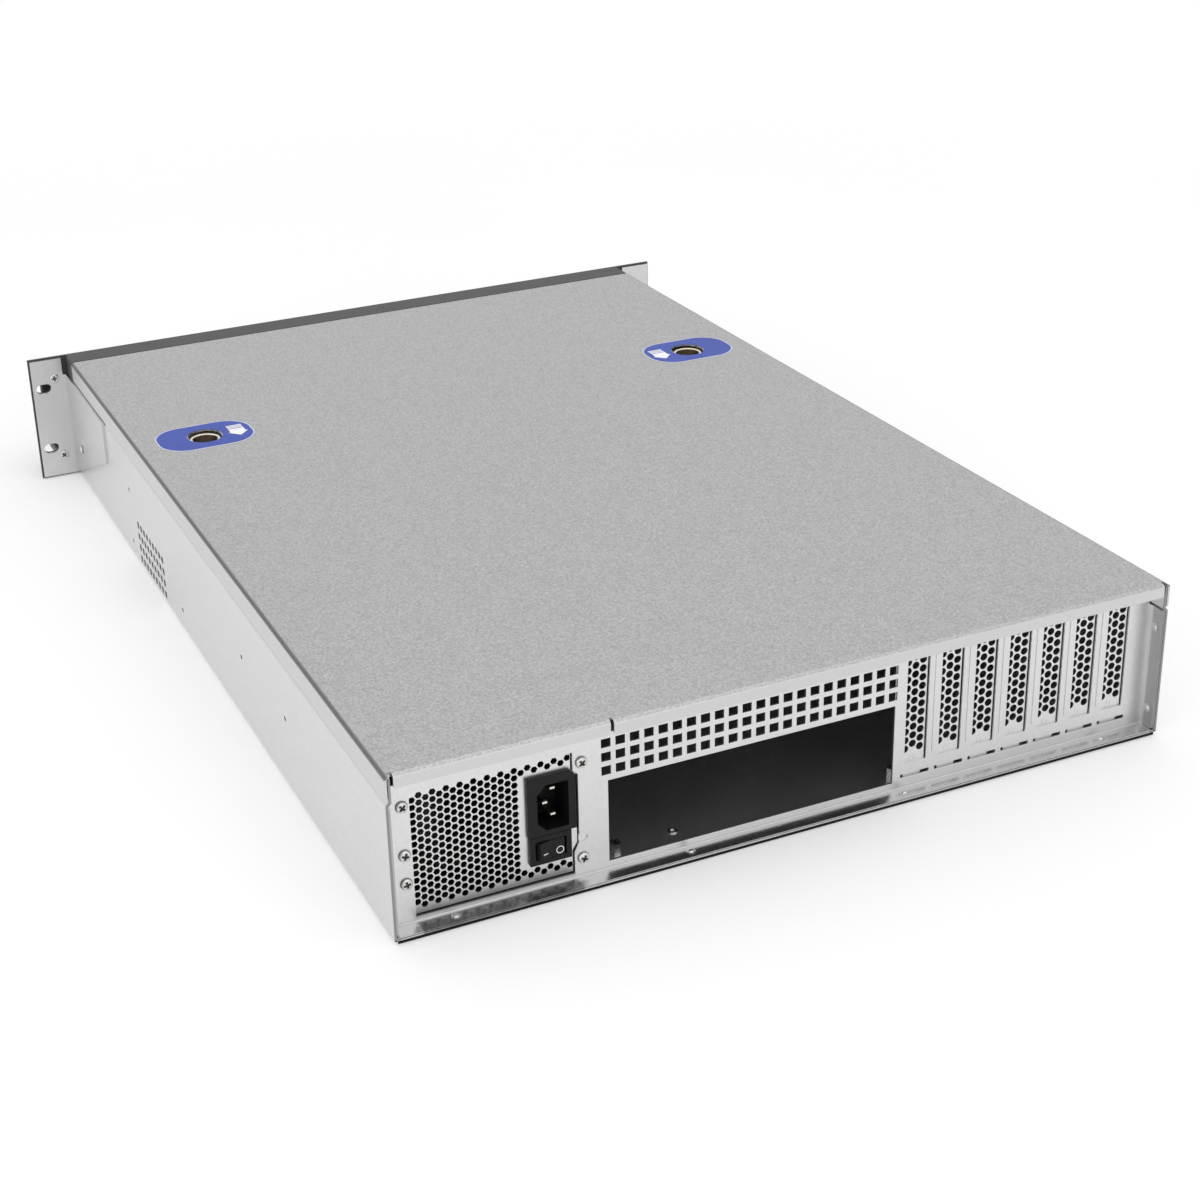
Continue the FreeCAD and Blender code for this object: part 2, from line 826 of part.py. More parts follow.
def psu_lid():
    """The power supply's lid: its top and both sides, folded from one sheet."""
    path = [(psu_left, psu_low), (psu_left, psu_top), (psu_right, psu_top), (psu_right, psu_low)]
    return strip(path, "xz", psu_front_y, wall_inner_y, psu_sheet, 0.0)


def psu_board():
    """The power supply's circuit board on its feet, with transformer, heat sink and capacitors."""
    x0, x1 = psu_right + board_right_gap, psu_left - board_left_gap
    y0 = psu_front_y + psu_fan_depth + board_end_gap
    y1 = wall_inner_y - inlet_depth - board_end_gap
    z0 = psu_low + psu_sheet + board_lift
    z1 = z0 + board_sheet
    pieces = [block(x0, x1, y0, y1, z0, z1)]
    foot = board_foot
    for x in (x0 + foot / 2, x1 - 3 * foot / 2):
        for y in (y0 + foot / 2, y1 - 3 * foot / 2):
            pieces.append(block(x, x + foot, y, y + foot, psu_low + psu_sheet, z0))
    middle = (x0 + x1) / 2
    length = transformer_length
    front = y0 + transformer_from_end
    pieces.append(block(middle - length / 2, middle + length / 2, front, front + length, z1,
                        z1 + transformer_height))
    sink = x1 - sink_inset
    pieces.append(block(sink, sink + sink_sheet, y0 + sink_inset, y1 - sink_inset, z1, z1 + sink_height))
    rear = y1 - choke_inset
    pieces.append(block(x0 + choke_inset, x0 + choke_inset + choke_width, rear - choke_length, rear, z1,
                        z1 + choke_height))
    for k in (0, 1):
        y = rear - capacitor_radius - k * capacitor_pitch
        outline = polygon(middle + transformer_length / 2, y, capacitor_radius, 8)
        pieces.append(prism(outline, "xy", z1, z1 + capacitor_height))
    return joined(pieces)


def inlet_body():
    """The inlet's body behind its bezel, as low and high X and Z."""
    m = inlet_body_margin
    return psu_middle + inlet_right + m, psu_middle + inlet_left - m, inlet_low + m / 2, inlet_high - m / 2


def switch_body():
    """The switch's body behind its bezel, as low and high X and Z."""
    m = switch_body_margin
    return psu_middle + switch_right + m, psu_middle + switch_left - m, switch_low + m, switch_high - m


def cavity_heights():
    """Lowest and highest Z of the inlet's cavity."""
    low = inlet_low + cavity_rise
    return low, low + cavity_height


def inlet_socket():
    """The mains inlet: bevelled bezel, body and the six-sided cavity."""
    left, right = psu_middle + inlet_left, psu_middle + inlet_right
    bezel = [
        (left, inlet_low),
        (left, inlet_high),
        (right + inlet_bevel, inlet_high),
        (right, inlet_high - inlet_bevel),
        (right, inlet_low),
    ]
    x0, x1, z0, z1 = inlet_body()
    body = joined([
        prism(bezel, "xz", wall_inner_y, bezel_y),
        block(x0, x1, wall_inner_y - inlet_depth, wall_inner_y, z0, z1),
    ])
    left = left - cavity_inset
    right = left - cavity_width
    low, high = cavity_heights()
    cavity = [
        (right, low),
        (right, high),
        (left - cavity_chamfer, high),
        (left, high - cavity_chamfer),
        (left, low + cavity_chamfer),
        (left - cavity_chamfer, low),
    ]
    return body.cut(prism(cavity, "xz", bezel_y - cavity_depth, bezel_y + 1))


def inlet_pins():
    """The three flat pins, standing on the cavity's floor."""
    y0 = bezel_y - cavity_depth
    y1 = bezel_y - pin_recess
    middle = sum(cavity_heights()) / 2
    line = psu_middle + inlet_left - cavity_inset - pin_line_inset
    places = (
        (line, middle + pin_spacing / 2),
        (line + pin_earth_offset, middle),
        (line, middle - pin_spacing / 2),
    )
    pins = []
    for x, z in places:
        pins.append(block(x - pin_width / 2, x + pin_width / 2, y0, y1, z - pin_height / 2, z + pin_height / 2))
    return Part.makeCompound(pins)


def rocker_centre():
    """X and Z of the middle of the rocker switch."""
    return psu_middle + (switch_left + switch_right) / 2, (switch_low + switch_high) / 2


def switch_frame():
    """The rocker switch's bezel and hollow body."""
    x, z = rocker_centre()
    x0, x1, z0, z1 = switch_body()
    body = joined([
        block(psu_middle + switch_right, psu_middle + switch_left, wall_inner_y, bezel_y, switch_low, switch_high),
        block(x0, x1, wall_inner_y - switch_depth, wall_inner_y, z0, z1),
    ])
    half_width = rocker_radius + rocker_gap
    half_height = rocker_height / 2 + rocker_gap
    well = block(x - half_width, x + half_width, wall_inner_y - switch_depth + switch_floor, bezel_y + 1,
                 z - half_height, z + half_height)
    reach = half_height + rocker_pin_reach
    pivot_y = bezel_y - rocker_pivot_depth
    hole_radius = (rocker_pin + rocker_pin_gap) / math.cos(math.pi / 8)
    pin_hole = prism(polygon(x, pivot_y, hole_radius, 8), "xy", z - reach, z + reach)
    return body.cut([well, pin_hole])


def switch_rocker():
    """The rocker: two faces that meet in a shallow valley, on a drum that turns about a vertical axis."""
    x, z = rocker_centre()
    pivot_y = bezel_y - rocker_pivot_depth
    tilt = math.tan(math.radians(2 * rocker_half_turn))
    body = prism(polygon(x, pivot_y, rocker_radius, 20), "xy", z - rocker_height / 2, z + rocker_height / 2)
    far = rocker_radius + 1
    above = [(x - far, bezel_y), (x, bezel_y), (x + far, bezel_y + far * tilt), (x + far, bezel_y + 9),
             (x - far, bezel_y + 9)]
    below = rectangle(x - far, x + far, pivot_y - 9, pivot_y - rocker_radius / 2)
    low, high = z - rocker_height, z + rocker_height
    body = body.cut([prism(above, "xy", low, high), prism(below, "xy", low, high)])
    reach = rocker_height / 2 + rocker_gap + rocker_pin_reach
    pin = prism(polygon(x, pivot_y, rocker_pin, 8), "xy", z - reach, z + reach)
    return joined([body, pin])


def psu_screws():
    """The five pan-head screws through the rear wall into the power supply."""
    heads = []
    left = (psu_screw_left_high, psu_screw_left_middle, psu_screw_left_low)
    right = (psu_screw_right_high, psu_screw_right_low)
    for side, drops in ((psu_screw_left, left), (psu_screw_right, right)):
        for drop in drops:
            heads.append(screw_head(psu_middle + side, psu_top - drop, "xz", wall_y, screw_radius, screw_height))
    return Part.makeCompound(heads)


def fan_frame(x, z, y0, size, depth):
    """A fan's square frame with its bore, motor seat and four struts at the rear."""
    y1 = y0 + depth
    edge = rectangle(x - size / 2, x + size / 2, z - size / 2, z + size / 2)
    body = prism(edge, "xz", y0, y1).cut(drum(x, z, y0 - 1, y1 + 1, size * fan_bore))
    seat = prism(polygon(x, z, size * fan_seat, 8, 22.5), "xz", y1 - seat_sheet, y1)
    arm = (size * fan_bore + size / 2) / 2
    w = strut_width / 2
    struts = [block(x - arm, x + arm, y1 - seat_sheet, y1, z - w, z + w),
              block(x - w, x + w, y1 - seat_sheet, y1, z - arm, z + arm)]
    return joined([body, seat] + struts)


def twisted_plate(root, tip):
    """A plate between two flat quads that are turned against each other, with its sides as triangles."""
    triangles = [(root[0], root[1], root[2]), (root[0], root[2], root[3]),
                 (tip[0], tip[1], tip[2]), (tip[0], tip[2], tip[3])]
    for i in range(4):
        j = (i + 1) % 4
        triangles.append((root[i], root[j], tip[j]))
        triangles.append((root[i], tip[j], tip[i]))
    faces = [Part.Face(Part.makePolygon(list(t) + [t[0]])) for t in triangles]
    solid = Part.Solid(Part.Shell(faces))
    if solid.Volume < 0:
        solid.reverse()
    return solid


def fan_rotor(x, z, y0, size, depth):
    """A fan's hub and its seven twisted blades, swept about the hub."""
    hub_radius = size * fan_hub
    y1 = y0 + depth - blade_margin
    y2 = y0 + blade_margin / 3
    middle = (y2 + y1) / 2
    pieces = [
        prism(polygon(x, z, hub_radius, 12), "xz", y2, y1),
        prism(polygon(x, z, shaft_radius, 6), "xz", y1, y0 + depth - seat_sheet),
    ]
    edge = blade_sheet / 2
    quads = []
    for radius, lean, chord in ((hub_radius * 0.9, 52, 0.66), (size * fan_tip, 30, 0.78)):
        span = (depth - 2 * blade_margin) * chord
        rise = span * math.sin(math.radians(lean)) / 2
        slide = span * math.cos(math.radians(lean)) / 2
        quads.append([V(-slide - edge, middle - rise, radius), V(-slide + edge, middle - rise, radius),
                      V(slide + edge, middle + rise, radius), V(slide - edge, middle + rise, radius)])
    for k in range(fan_blades):
        blade = twisted_plate(*quads)
        blade.rotate(V(0, 0, 0), V(0, 1, 0), 360.0 * k / fan_blades)
        blade.translate(V(x, 0, z))
        pieces.append(blade)
    return joined(pieces)


def psu_fan_place():
    """Middle X and Z, front Y, size and depth of the power supply's fan."""
    return psu_middle, psu_low + psu_height / 2, psu_front_y + psu_sheet, psu_fan_size, psu_fan_depth


def fan_place(k):
    """Middle X and Z, front Y, size and depth of one case fan."""
    return (k - 1) * fan_pitch, fan_middle_z, fan_wall_y - sheet - fan_depth, fan_size, fan_depth


def fan_wall():
    """The folded wall across the case that carries the three fans."""
    path = [(fan_wall_y - sheet, case_height - fan_wall_gap), (fan_wall_y - sheet, sheet), (fan_wall_y + fan_wall_foot, sheet)]
    inside = upper_inner - gap
    body = strip(path, "yz", -inside, inside, sheet, 0.0)
    eyes = []
    for k in range(3):
        x, z, y, size, depth = fan_place(k)
        eyes.append(drum(x, z, y + depth - 1, fan_wall_y + 1, size * fan_bore))
    return body.cut(eyes)


def motherboard_posts():
    """The nine tapped posts that a motherboard is screwed to, each with a blind hole."""
    posts = []
    low, high = sheet + post_floor, sheet + post_height
    for x in post_columns:
        for y in post_rows:
            post = prism(polygon(x, y, post_radius, 6), "xy", sheet, high)
            at_corner = x != post_middle_x and y != post_rows[1]
            bore = prism(polygon(x, y, post_bore, 6), "xy", low, high)
            if at_corner:
                bore = Part.makeCylinder(post_bore, high - low, V(x, y, low))
            posts.append(post.cut(bore))
    return Part.makeCompound(posts)


def handle_places():
    """Heights of a handle's two ends."""
    return rack_middle_z - handle_spacing / 2, rack_middle_z + handle_spacing / 2


def rack_slots(sign, start, end, sides=0):
    """Cutters for the two rack slots of one ear, with true arcs or with a few flats for each end."""
    cutters = []
    radius = rack_hole_width / 2
    reach = rack_hole_length / 2 - radius
    for side in (-1, 1):
        z = rack_middle_z + side * rack_hole_spacing_z / 2
        x = sign * rack_hole_x
        if sides:
            cutters.append(prism(slot_outline(x, z, rack_hole_length, rack_hole_width, sides), "xz", start, end))
            continue
        ends = [Part.makeCylinder(radius, end - start, V(x + u, start, z), V(0, 1, 0)) for u in (-reach, reach)]
        cutters.append(joined(ends + [block(x - reach, x + reach, start, end, z - radius, z + radius)]))
    return cutters


def ear(sign):
    """A rack ear: the plate behind the front panel and the tapered flange on the side wall."""
    edge = rack_width / 2 - ear_edge
    top = cover_low - joggle_gap
    inner_high = half + ear_notch
    plate = [
        (half, ear_edge),
        (edge, ear_edge),
        (edge, case_height - ear_edge),
        (inner_high, case_height - ear_edge),
        (inner_high, top),
        (half, top),
    ]
    face = prism(plate, "xz", ear_y, ear_y + ear_sheet)
    flange = [
        (ear_y, ear_edge),
        (ear_y + ear_flange_length, ear_flange_rear_low),
        (ear_y + ear_flange_length, top),
        (ear_y, top),
    ]
    side = prism(flange, "yz", half, half + ear_sheet, radii=[0, ear_flange_corner, 0, 0])
    body = joined([face, side]).cut(rack_slots(1, ear_y - 1, ear_y + ear_sheet + 1))
    return body if sign > 0 else mirrored(body)


def ear_screws():
    """The screws in the ears' side flanges and the handle screws seen behind the ears."""
    heads = []
    from_ear, z = ear_screw
    y = ear_y + from_ear
    side = half + ear_sheet
    heads.append(screw_head(y, z, "yz", side, screw_radius, screw_height))
    heads.append(screw_head(y, z, "yz", -side, screw_radius, -screw_height))
    for sign in (-1, 1):
        for end in handle_places():
            heads.append(screw_head(sign * handle_x, end, "xz", ear_y + ear_sheet, handle_screw_radius,
                                    handle_screw_height))
    return Part.makeCompound(heads)


def handle(sign):
    """A flat-bar handle bent to a U, standing out of the front panel."""
    low, high = handle_places()
    low, high = low - handle_bar / 2, high + handle_bar / 2
    front = ear_y - front_reach
    seat = ear_y - panel_sheet
    b = handle_bar
    outline = [(seat, low), (front, low), (front, high), (seat, high), (seat, high - b), (front + b, high - b),
               (front + b, low + b), (seat, low + b)]
    r = handle_radius
    radii = [0, r + b, r + b, 0, 0, r, r, 0]
    x = sign * handle_x
    return prism(softened(outline, radii, corner_steps), "yz", x - handle_width / 2, x + handle_width / 2)


def front_panel():
    """The front plate with its top return, the drive-bay and control openings and the vent slots."""
    y0, y1 = ear_y - panel_sheet, ear_y
    edge = rack_width / 2
    wires = [loop(rectangle(-edge, edge, 0, case_height), "xz", y0)]
    bay_high = bay_low + 2 * bay_height + bay_step
    bays = rectangle(bay_left - gap, bay_left + bay_width + gap, bay_low - gap, bay_high + gap)
    wires.append(loop(bays, "xz", y0))
    for column in range(front_vent_columns):
        x = front_vent_left + column * front_vent_pitch_x
        for row in range(front_vent_rows):
            z = front_vent_low + row * front_vent_pitch_z
            wires.append(loop(rectangle(x, x + front_vent_length, z, z + front_vent_height), "xz", y0))
    for z in usb_z:
        w, h = usb_width / 2 + gap, usb_height / 2 + gap
        wires.append(loop(rectangle(control_x - w, control_x + w, z - h, z + h), "xz", y0))
    for k in (-1, 0, 1):
        wires.append(loop(polygon(control_x + k * lamp_pitch, lamp_z, lamp_radius + gap / 2, 8), "xz", y0))
    plate = raise_face(wires, "xz", y0, y1)
    hood = [(half, cover_low), (half, case_height), (-half, case_height), (-half, cover_low)]
    top = strip(hood, "xz", y1, ear_y + cover_front - gap, sheet, cover_bend)
    cutters = rack_slots(1, y0 - 1, y1 + 1, 5) + rack_slots(-1, y0 - 1, y1 + 1, 5)
    for z, radius in ((power_z, power_radius), (reset_z, reset_radius)):
        cutters.append(drum(control_x, z, y0 - 1, y1 + 1, radius + gap / 2, key_sides))
    return joined([plate, top]).cut(cutters)


def bay_cover(k):
    """A drive-bay cover: a face plate with a rim behind it."""
    x0, x1 = bay_left, bay_left + bay_width
    z0 = bay_low + k * (bay_height + bay_step)
    z1 = z0 + bay_height
    y0 = ear_y - panel_sheet - 0.6
    w = bay_cover_wall
    body = block(x0, x1, y0, y0 + bay_cover_rim, z0, z1)
    return body.cut(block(x0 + w, x1 - w, y0 + w, y0 + bay_cover_rim + 1, z0 + w, z1 - w))


def drive_cage():
    """The drive cage: sides, top and feet folded from one sheet, open to the bays."""
    left, right = bay_left - sheet, bay_left + bay_width + sheet
    high = bay_low + 2 * bay_height + bay_step + sheet
    path = [
        (right + cage_foot, 2 * sheet),
        (right, 2 * sheet),
        (right, high),
        (left, high),
        (left, 2 * sheet),
        (left - cage_foot, 2 * sheet),
    ]
    y0, y1 = ear_y + gap, ear_y + cage_length
    body = strip(path, "xz", y0, y1, sheet, 0.0)
    cutters = []
    for k in range(2):
        z = bay_low + bay_height / 2 + k * (bay_height + bay_step)
        middle = (y0 + y1) / 2
        slot = rectangle(middle - cage_slot_length / 2, middle + cage_slot_length / 2,
                         z - cage_slot_height / 2, z + cage_slot_height / 2)
        cutters.append(prism(slot, "yz", left - 2, right + 2))
    return body.cut(cutters)


def front_key(z, radius):
    """A push button in the front panel, with the flange that keeps it from falling out."""
    y0 = ear_y - panel_sheet - key_stand
    stem = drum(control_x, z, y0, y0 + key_length, radius, key_sides)
    flange = drum(control_x, z, ear_y, ear_y + key_flange_sheet, radius + key_flange, key_sides)
    return joined([stem, flange])


def control_board():
    """The small circuit board behind the controls, on four spacers, with its two key switches."""
    x0, x1 = control_x - control_board_width / 2, control_x + control_board_width / 2
    y0 = ear_y + control_board_set
    pieces = [block(x0, x1, y0, y0 + board_sheet, control_board_low, control_board_high)]
    s = control_spacer
    for x in (x0, x1 - s):
        for z in (control_board_low, control_board_high - s):
            pieces.append(block(x, x + s, ear_y, y0, z, z + s))
    key_end = ear_y - panel_sheet - key_stand + key_length + key_travel + gap
    r = key_switch_size / 2
    for z in (power_z, reset_z):
        pieces.append(block(control_x - r, control_x + r, key_end, y0, z - r, z + r))
    return joined(pieces)


def usb_sockets():
    """Two data sockets: a thin shell with a tongue, from the board to the front plate."""
    shells = []
    y0, y1 = ear_y - panel_sheet, ear_y + control_board_set
    for z in usb_z:
        w, h = usb_width / 2, usb_height / 2
        t = usb_wall
        shell = block(control_x - w, control_x + w, y0, y1, z - h, z + h)
        shell = shell.cut(block(control_x - w + t, control_x + w - t, y0 - 1, y1 - t, z - h + t, z + h - t))
        tongue = block(control_x - w + 3 * t, control_x + w - 3 * t, y0 + 1, y1, z, z + usb_tongue)
        shells.append(joined([shell, tongue]))
    return Part.makeCompound(shells)


def status_lamps():
    """Three light pipes, from the board to the front plate."""
    lamps = []
    for k in (-1, 0, 1):
        outline = polygon(control_x + k * lamp_pitch, lamp_z, lamp_radius, 8)
        lamps.append(prism(outline, "xz", ear_y - panel_sheet - 0.4, ear_y + control_board_set))
    return Part.makeCompound(lamps)


def all_parts():
    """Every piece of the case under its node's name."""
    parts = {
        "chassis_tray": chassis_tray(),
        "rear_wall": rear_wall(),
        "wall_rivets": wall_rivets(),
        "slot_screws": slot_screws(),
        "top_cover": top_cover(),
        "cross_bar": cross_bar(),
        "psu_case": psu_case(),
        "psu_lid": psu_lid(),
        "psu_board": psu_board(),
        "psu_fan_frame": fan_frame(*psu_fan_place()),
        "psu_fan_rotor": fan_rotor(*psu_fan_place()),
        "psu_screws": psu_screws(),
        "inlet_socket": inlet_socket(),
        "inlet_pins": inlet_pins(),
        "switch_frame": switch_frame(),
        "switch_rocker": switch_rocker(),
        "fan_wall": fan_wall(),
        "motherboard_posts": motherboard_posts(),
        "front_panel": front_panel(),
        "drive_cage": drive_cage(),
        "bay_cover_lower": bay_cover(0),
        "bay_cover_upper": bay_cover(1),
        "power_button": front_key(power_z, power_radius),
        "reset_button": front_key(reset_z, reset_radius),
        "control_board": control_board(),
        "usb_sockets": usb_sockets(),
        "status_lamps": status_lamps(),
        "ear_screws": ear_screws(),
    }
    for k in range(slot_count):
        parts[f"slot_cover_{k + 1}"] = slot_cover(k)
    for k in range(3):
        parts[f"fan_frame_{k + 1}"] = fan_frame(*fan_place(k))
        parts[f"fan_rotor_{k + 1}"] = fan_rotor(*fan_place(k))
    for side, sign in (("left", -1), ("right", 1)):
        parts[f"latch_label_{side}"] = latch_label(sign)
        parts[f"latch_button_{side}"] = latch_button(sign)
        parts[f"latch_seat_{side}"] = latch_seat(sign)
        parts[f"latch_spring_{side}"] = bow_spring(sign)
        parts[f"ear_{side}"] = ear(sign)
        parts[f"handle_{side}"] = handle(sign)
    return parts


os.makedirs("parts", exist_ok=True)
for name, shape in all_parts().items():
    if not shape.isValid():
        raise ValueError(f"{name} is not a valid solid")
    shape.exportStep(f"parts/{name}.step")
    print(name, len(shape.Solids), round(shape.Volume), [round(v, 1) for v in (
        shape.BoundBox.XMin, shape.BoundBox.XMax, shape.BoundBox.YMin, shape.BoundBox.YMax,
        shape.BoundBox.ZMin, shape.BoundBox.ZMax)])
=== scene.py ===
# %% [markdown]
# # A two-unit rackmount server case, dressed for its portrait
#
# The shapes of this case were drawn in CAD, in one fixed frame. This script loads them, gives every piece
# a finish worked out by shader nodes, and swaps some of them for finer surfaces made with numpy: the
# perforated sheets, the screws, the latches and the handles. Everything is in metres.

# %% Load the frame
import math

import bmesh
import bpy
import numpy as np
from mathutils import Matrix, Vector
from mathutils.geometry import delaunay_2d_cdt


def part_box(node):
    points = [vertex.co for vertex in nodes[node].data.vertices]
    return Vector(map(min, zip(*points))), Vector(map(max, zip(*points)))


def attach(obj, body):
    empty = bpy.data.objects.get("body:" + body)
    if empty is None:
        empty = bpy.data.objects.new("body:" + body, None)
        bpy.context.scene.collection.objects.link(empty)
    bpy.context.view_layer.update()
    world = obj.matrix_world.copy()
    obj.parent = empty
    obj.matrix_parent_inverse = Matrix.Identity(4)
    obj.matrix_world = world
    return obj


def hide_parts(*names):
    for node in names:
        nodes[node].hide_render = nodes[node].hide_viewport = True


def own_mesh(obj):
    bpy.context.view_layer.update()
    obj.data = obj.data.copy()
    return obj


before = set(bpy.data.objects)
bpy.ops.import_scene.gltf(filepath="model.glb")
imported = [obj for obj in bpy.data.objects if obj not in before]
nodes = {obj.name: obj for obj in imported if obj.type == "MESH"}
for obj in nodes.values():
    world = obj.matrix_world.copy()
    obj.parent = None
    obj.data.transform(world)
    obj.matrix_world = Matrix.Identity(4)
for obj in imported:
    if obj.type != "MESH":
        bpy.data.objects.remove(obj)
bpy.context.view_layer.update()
MM = 0.001


def short(corner):
    """A point's coordinates in metres, rounded for printing."""
    return [round(v, 4) for v in corner]


# %% [markdown]
# ## Shader sums written as Python
#
# A finish is a chain of shader nodes. Wiring each Math node by hand hides the idea behind it, so one small
# class wraps a node's output: `1 - mask * 0.3` then adds the Math nodes by itself. Any other node, such as a
# noise or a ramp, comes from the method `node`, which takes its type, its settings and its sockets.

# %% The class for shader sums
class Flow:
    """One output of a shader node, which Python's + - * and abs() work on by adding Math nodes."""

    def __init__(self, tree, output=None):
        self.tree = tree
        self.output = output

    def node(self, kind, settings=None, sockets=None):
        """Adds a node, first with its settings, then with the values or links of its sockets."""
        made = self.tree.nodes.new(kind)
        for key, value in (settings or {}).items():
            if key == "stops":
                ramp = made.color_ramp.elements
                while len(ramp) < len(value):
                    ramp.new(0.5)
                for stop, (place, colour) in zip(ramp, value):
                    stop.position = place
                    stop.color = colour
            else:
                setattr(made, key, value)
        for key, value in (sockets or {}).items():
            if isinstance(value, Flow):
                self.tree.links.new(value.output, made.inputs[key])
            else:
                made.inputs[key].default_value = value
        return {output.name: Flow(self.tree, output) for output in made.outputs if output.enabled}

    def sum(self, operation, *values):
        """Adds one Math node on flows or plain numbers."""
        return self.node("ShaderNodeMath", {"operation": operation}, dict(enumerate(values)))["Value"]

    def __add__(self, other):
        return self.sum("ADD", self, other)

    def __radd__(self, other):
        return self.sum("ADD", other, self)

    def __sub__(self, other):
        return self.sum("SUBTRACT", self, other)

    def __rsub__(self, other):
        return self.sum("SUBTRACT", other, self)

    def __mul__(self, other):
        return self.sum("MULTIPLY", self, other)

    def __rmul__(self, other):
        return self.sum("MULTIPLY", other, self)

    def __abs__(self):
        return self.sum("ABSOLUTE", self)

    def root(self):
        """The square root."""
        return self.sum("SQRT", self)

    def at_least(self, other):
        """This flow or the other value, whichever is larger."""
        return self.sum("MAXIMUM", self, other)

    def above(self, edge, soft):
        """0 below edge, 1 above edge + soft, straight between."""
        return self.node("ShaderNodeMapRange", {"clamp": True},
                         {"Value": self, "From Min": edge, "From Max": edge + soft})["Result"]

    def mixed(self, first, second):
        """Colour first where this flow is 0, second where it is 1."""
        return self.node("ShaderNodeMix", {"data_type": "RGBA"}, {0: self, 6: first, 7: second})["Result"]


def colour(red, green, blue):
    """A colour on a screen's scale of 0 to 255, as the light values that Blender computes with."""
    levels = np.array([red, green, blue]) / 255
    light = np.where(levels <= 0.04045, levels / 12.92, ((levels + 0.055) / 1.055) ** 2.4)
    return (*(float(v) for v in light), 1.0)


def grey(level):
    """A plain grey from 0 to 255."""
    return colour(level, level, level)


print("mid grey 178 is", round(grey(178)[0], 3))


# %% [markdown]
# ## A material with its place in space
#
# Every piece of this case sits at the origin with its place in its mesh, so Object coordinates are simply
# metres in the case's own frame. A grain given in millimetres then has the same size on every piece, and it
# stays put when a piece moves.

# %% Start a material
def new_finish(name, **fixed):
    """Makes a material and returns it with its Object coordinates and its shader's sockets."""
    material = bpy.data.materials.new(name)
    material.use_nodes = True
    shader = material.node_tree.nodes["Principled BSDF"]
    for key, value in fixed.items():
        shader.inputs[key.replace("_", " ")].default_value = value
    place = Flow(material.node_tree).node("ShaderNodeTexCoord")["Object"]
    return material, place, shader.inputs


def coordinates(place):
    """The X, Y and Z of a place, each as a flow of its own."""
    return place.node("ShaderNodeSeparateXYZ", None, {"Vector": place})


def noise(place, size, detail=2.0, stretch=(1, 1, 1)):
    """Cloudy noise whose lumps are about size millimetres across, drawn out by stretch."""
    scale = tuple(1 / v for v in stretch)
    scaled = place.node("ShaderNodeMapping", None, {"Vector": place, "Scale": scale})["Vector"]
    return place.node("ShaderNodeTexNoise", None,
                      {"Vector": scaled, "Scale": 1 / (size * MM), "Detail": detail})["Fac"]


def link(value, socket):
    """Feeds a socket."""
    value.tree.links.new(value.output, socket)


def bumped(height, depth):
    """A normal pushed in and out by height, whose full range is depth millimetres."""
    return height.node("ShaderNodeBump", None, {"Height": height, "Distance": depth * MM})["Normal"]


# %% [markdown]
# ## Galvanised steel
#
# The case is folded from zinc-coated sheet. Zinc is a metal, so nearly all of its colour is reflection. The
# cover has a fine sandy grain that breaks the reflection up, while the tray and the rear wall are smoother
# and show soft clouds. One function makes all of them, with the grain's size and strength as its choices.

# %% Galvanised sheet
def galvanised(name, level, roughness, grain, grain_size, cloud, depth=0.008, metallic=1.0):
    """Zinc-coated sheet: a grey level, grain and clouds as shares of it, and the grain's depth in mm."""
    material, place, shader = new_finish(name, Metallic=metallic)
    fine = noise(place, grain_size, 3.0) - 0.5
    broad = noise(place, 38.0, 3.0) - 0.5
    rolled = noise(place, 3.0, 2.0, (1, 60, 1)) - 0.5
    shade = 0.5 + fine * grain * 4 + broad * cloud * 2 + rolled * cloud
    base = grey(level)[0]
    darker = (base * 0.75,) * 3 + (1.0,)
    lighter = (base * 1.25,) * 2 + (base * 1.26, 1.0)
    link(shade.mixed(darker, lighter), shader["Base Color"])
    link(roughness + broad * 0.10 + fine * 0.08, shader["Roughness"])
    link(bumped(fine + rolled * 0.3, depth), shader["Normal"])
    return material, place, shader


def shaded(shader, mask, level):
    """Lays a plain grey over a finish's base colour where the mask is one."""
    painted = Flow(mask.tree, shader["Base Color"].links[0].from_socket)
    link(mask.mixed(painted, grey(level)), shader["Base Color"])


ear_steel = galvanised("ear_steel", 210, 0.36, 0.08, 1.2, 0.06)[0]
print("made", ear_steel.name)

# %% [markdown]
# ## Edges and folds
#
# Three places get painted light and shade over the flat sheet. The tray's cut rear edge is painted dark,
# darkest at the base, a painted shadow that draws a thin line round the rear opening. The power supply's face
# is painted darker towards its foot, as painted shade. The cover is painted dark along its two long bends, as
# painted shade, and its folded edges get a lighter plain grey over the grained top's colour, as painted light.

# %% The tray's finish
tray_steel, place, shader = galvanised("tray_steel", 213, 0.34, 0.10, 1.6, 0.08, metallic=0.91)
parts = coordinates(place)
# Painted shadow: the tray's rear edge is painted dark, darkest at the base, for the shadow line round the rear
# opening.
painted_edge_shadow = parts["Y"].above(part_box("chassis_tray")[1][1] - 0.6 * MM, 0.2 * MM)
shaded(shader, painted_edge_shadow * (1 - 0.4 * parts["Z"].above(1.5 * MM, 1 * MM)), 30)
print("made", tray_steel.name)

# %% The power supply's finish
psu_steel, place, shader = galvanised("psu_steel", 220, 0.34, 0.08, 1.2, 0.06)
# Painted shade: the power supply's face is painted darker towards its foot, below the grille.
shaded(shader, 0.8 - 0.8 * coordinates(place)["Z"].above(3.5 * MM, 7 * MM), 60)
print("made", psu_steel.name)

# %% The cover's finish
cover_steel, place, shader = galvanised("cover_steel", 177, 0.46, 0.56, 1.2, 0.05, 0.03)
parts = coordinates(place)
cover_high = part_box("top_cover")[1]
across = cover_high[0] - abs(parts["X"])
below = cover_high[2] - parts["Z"]
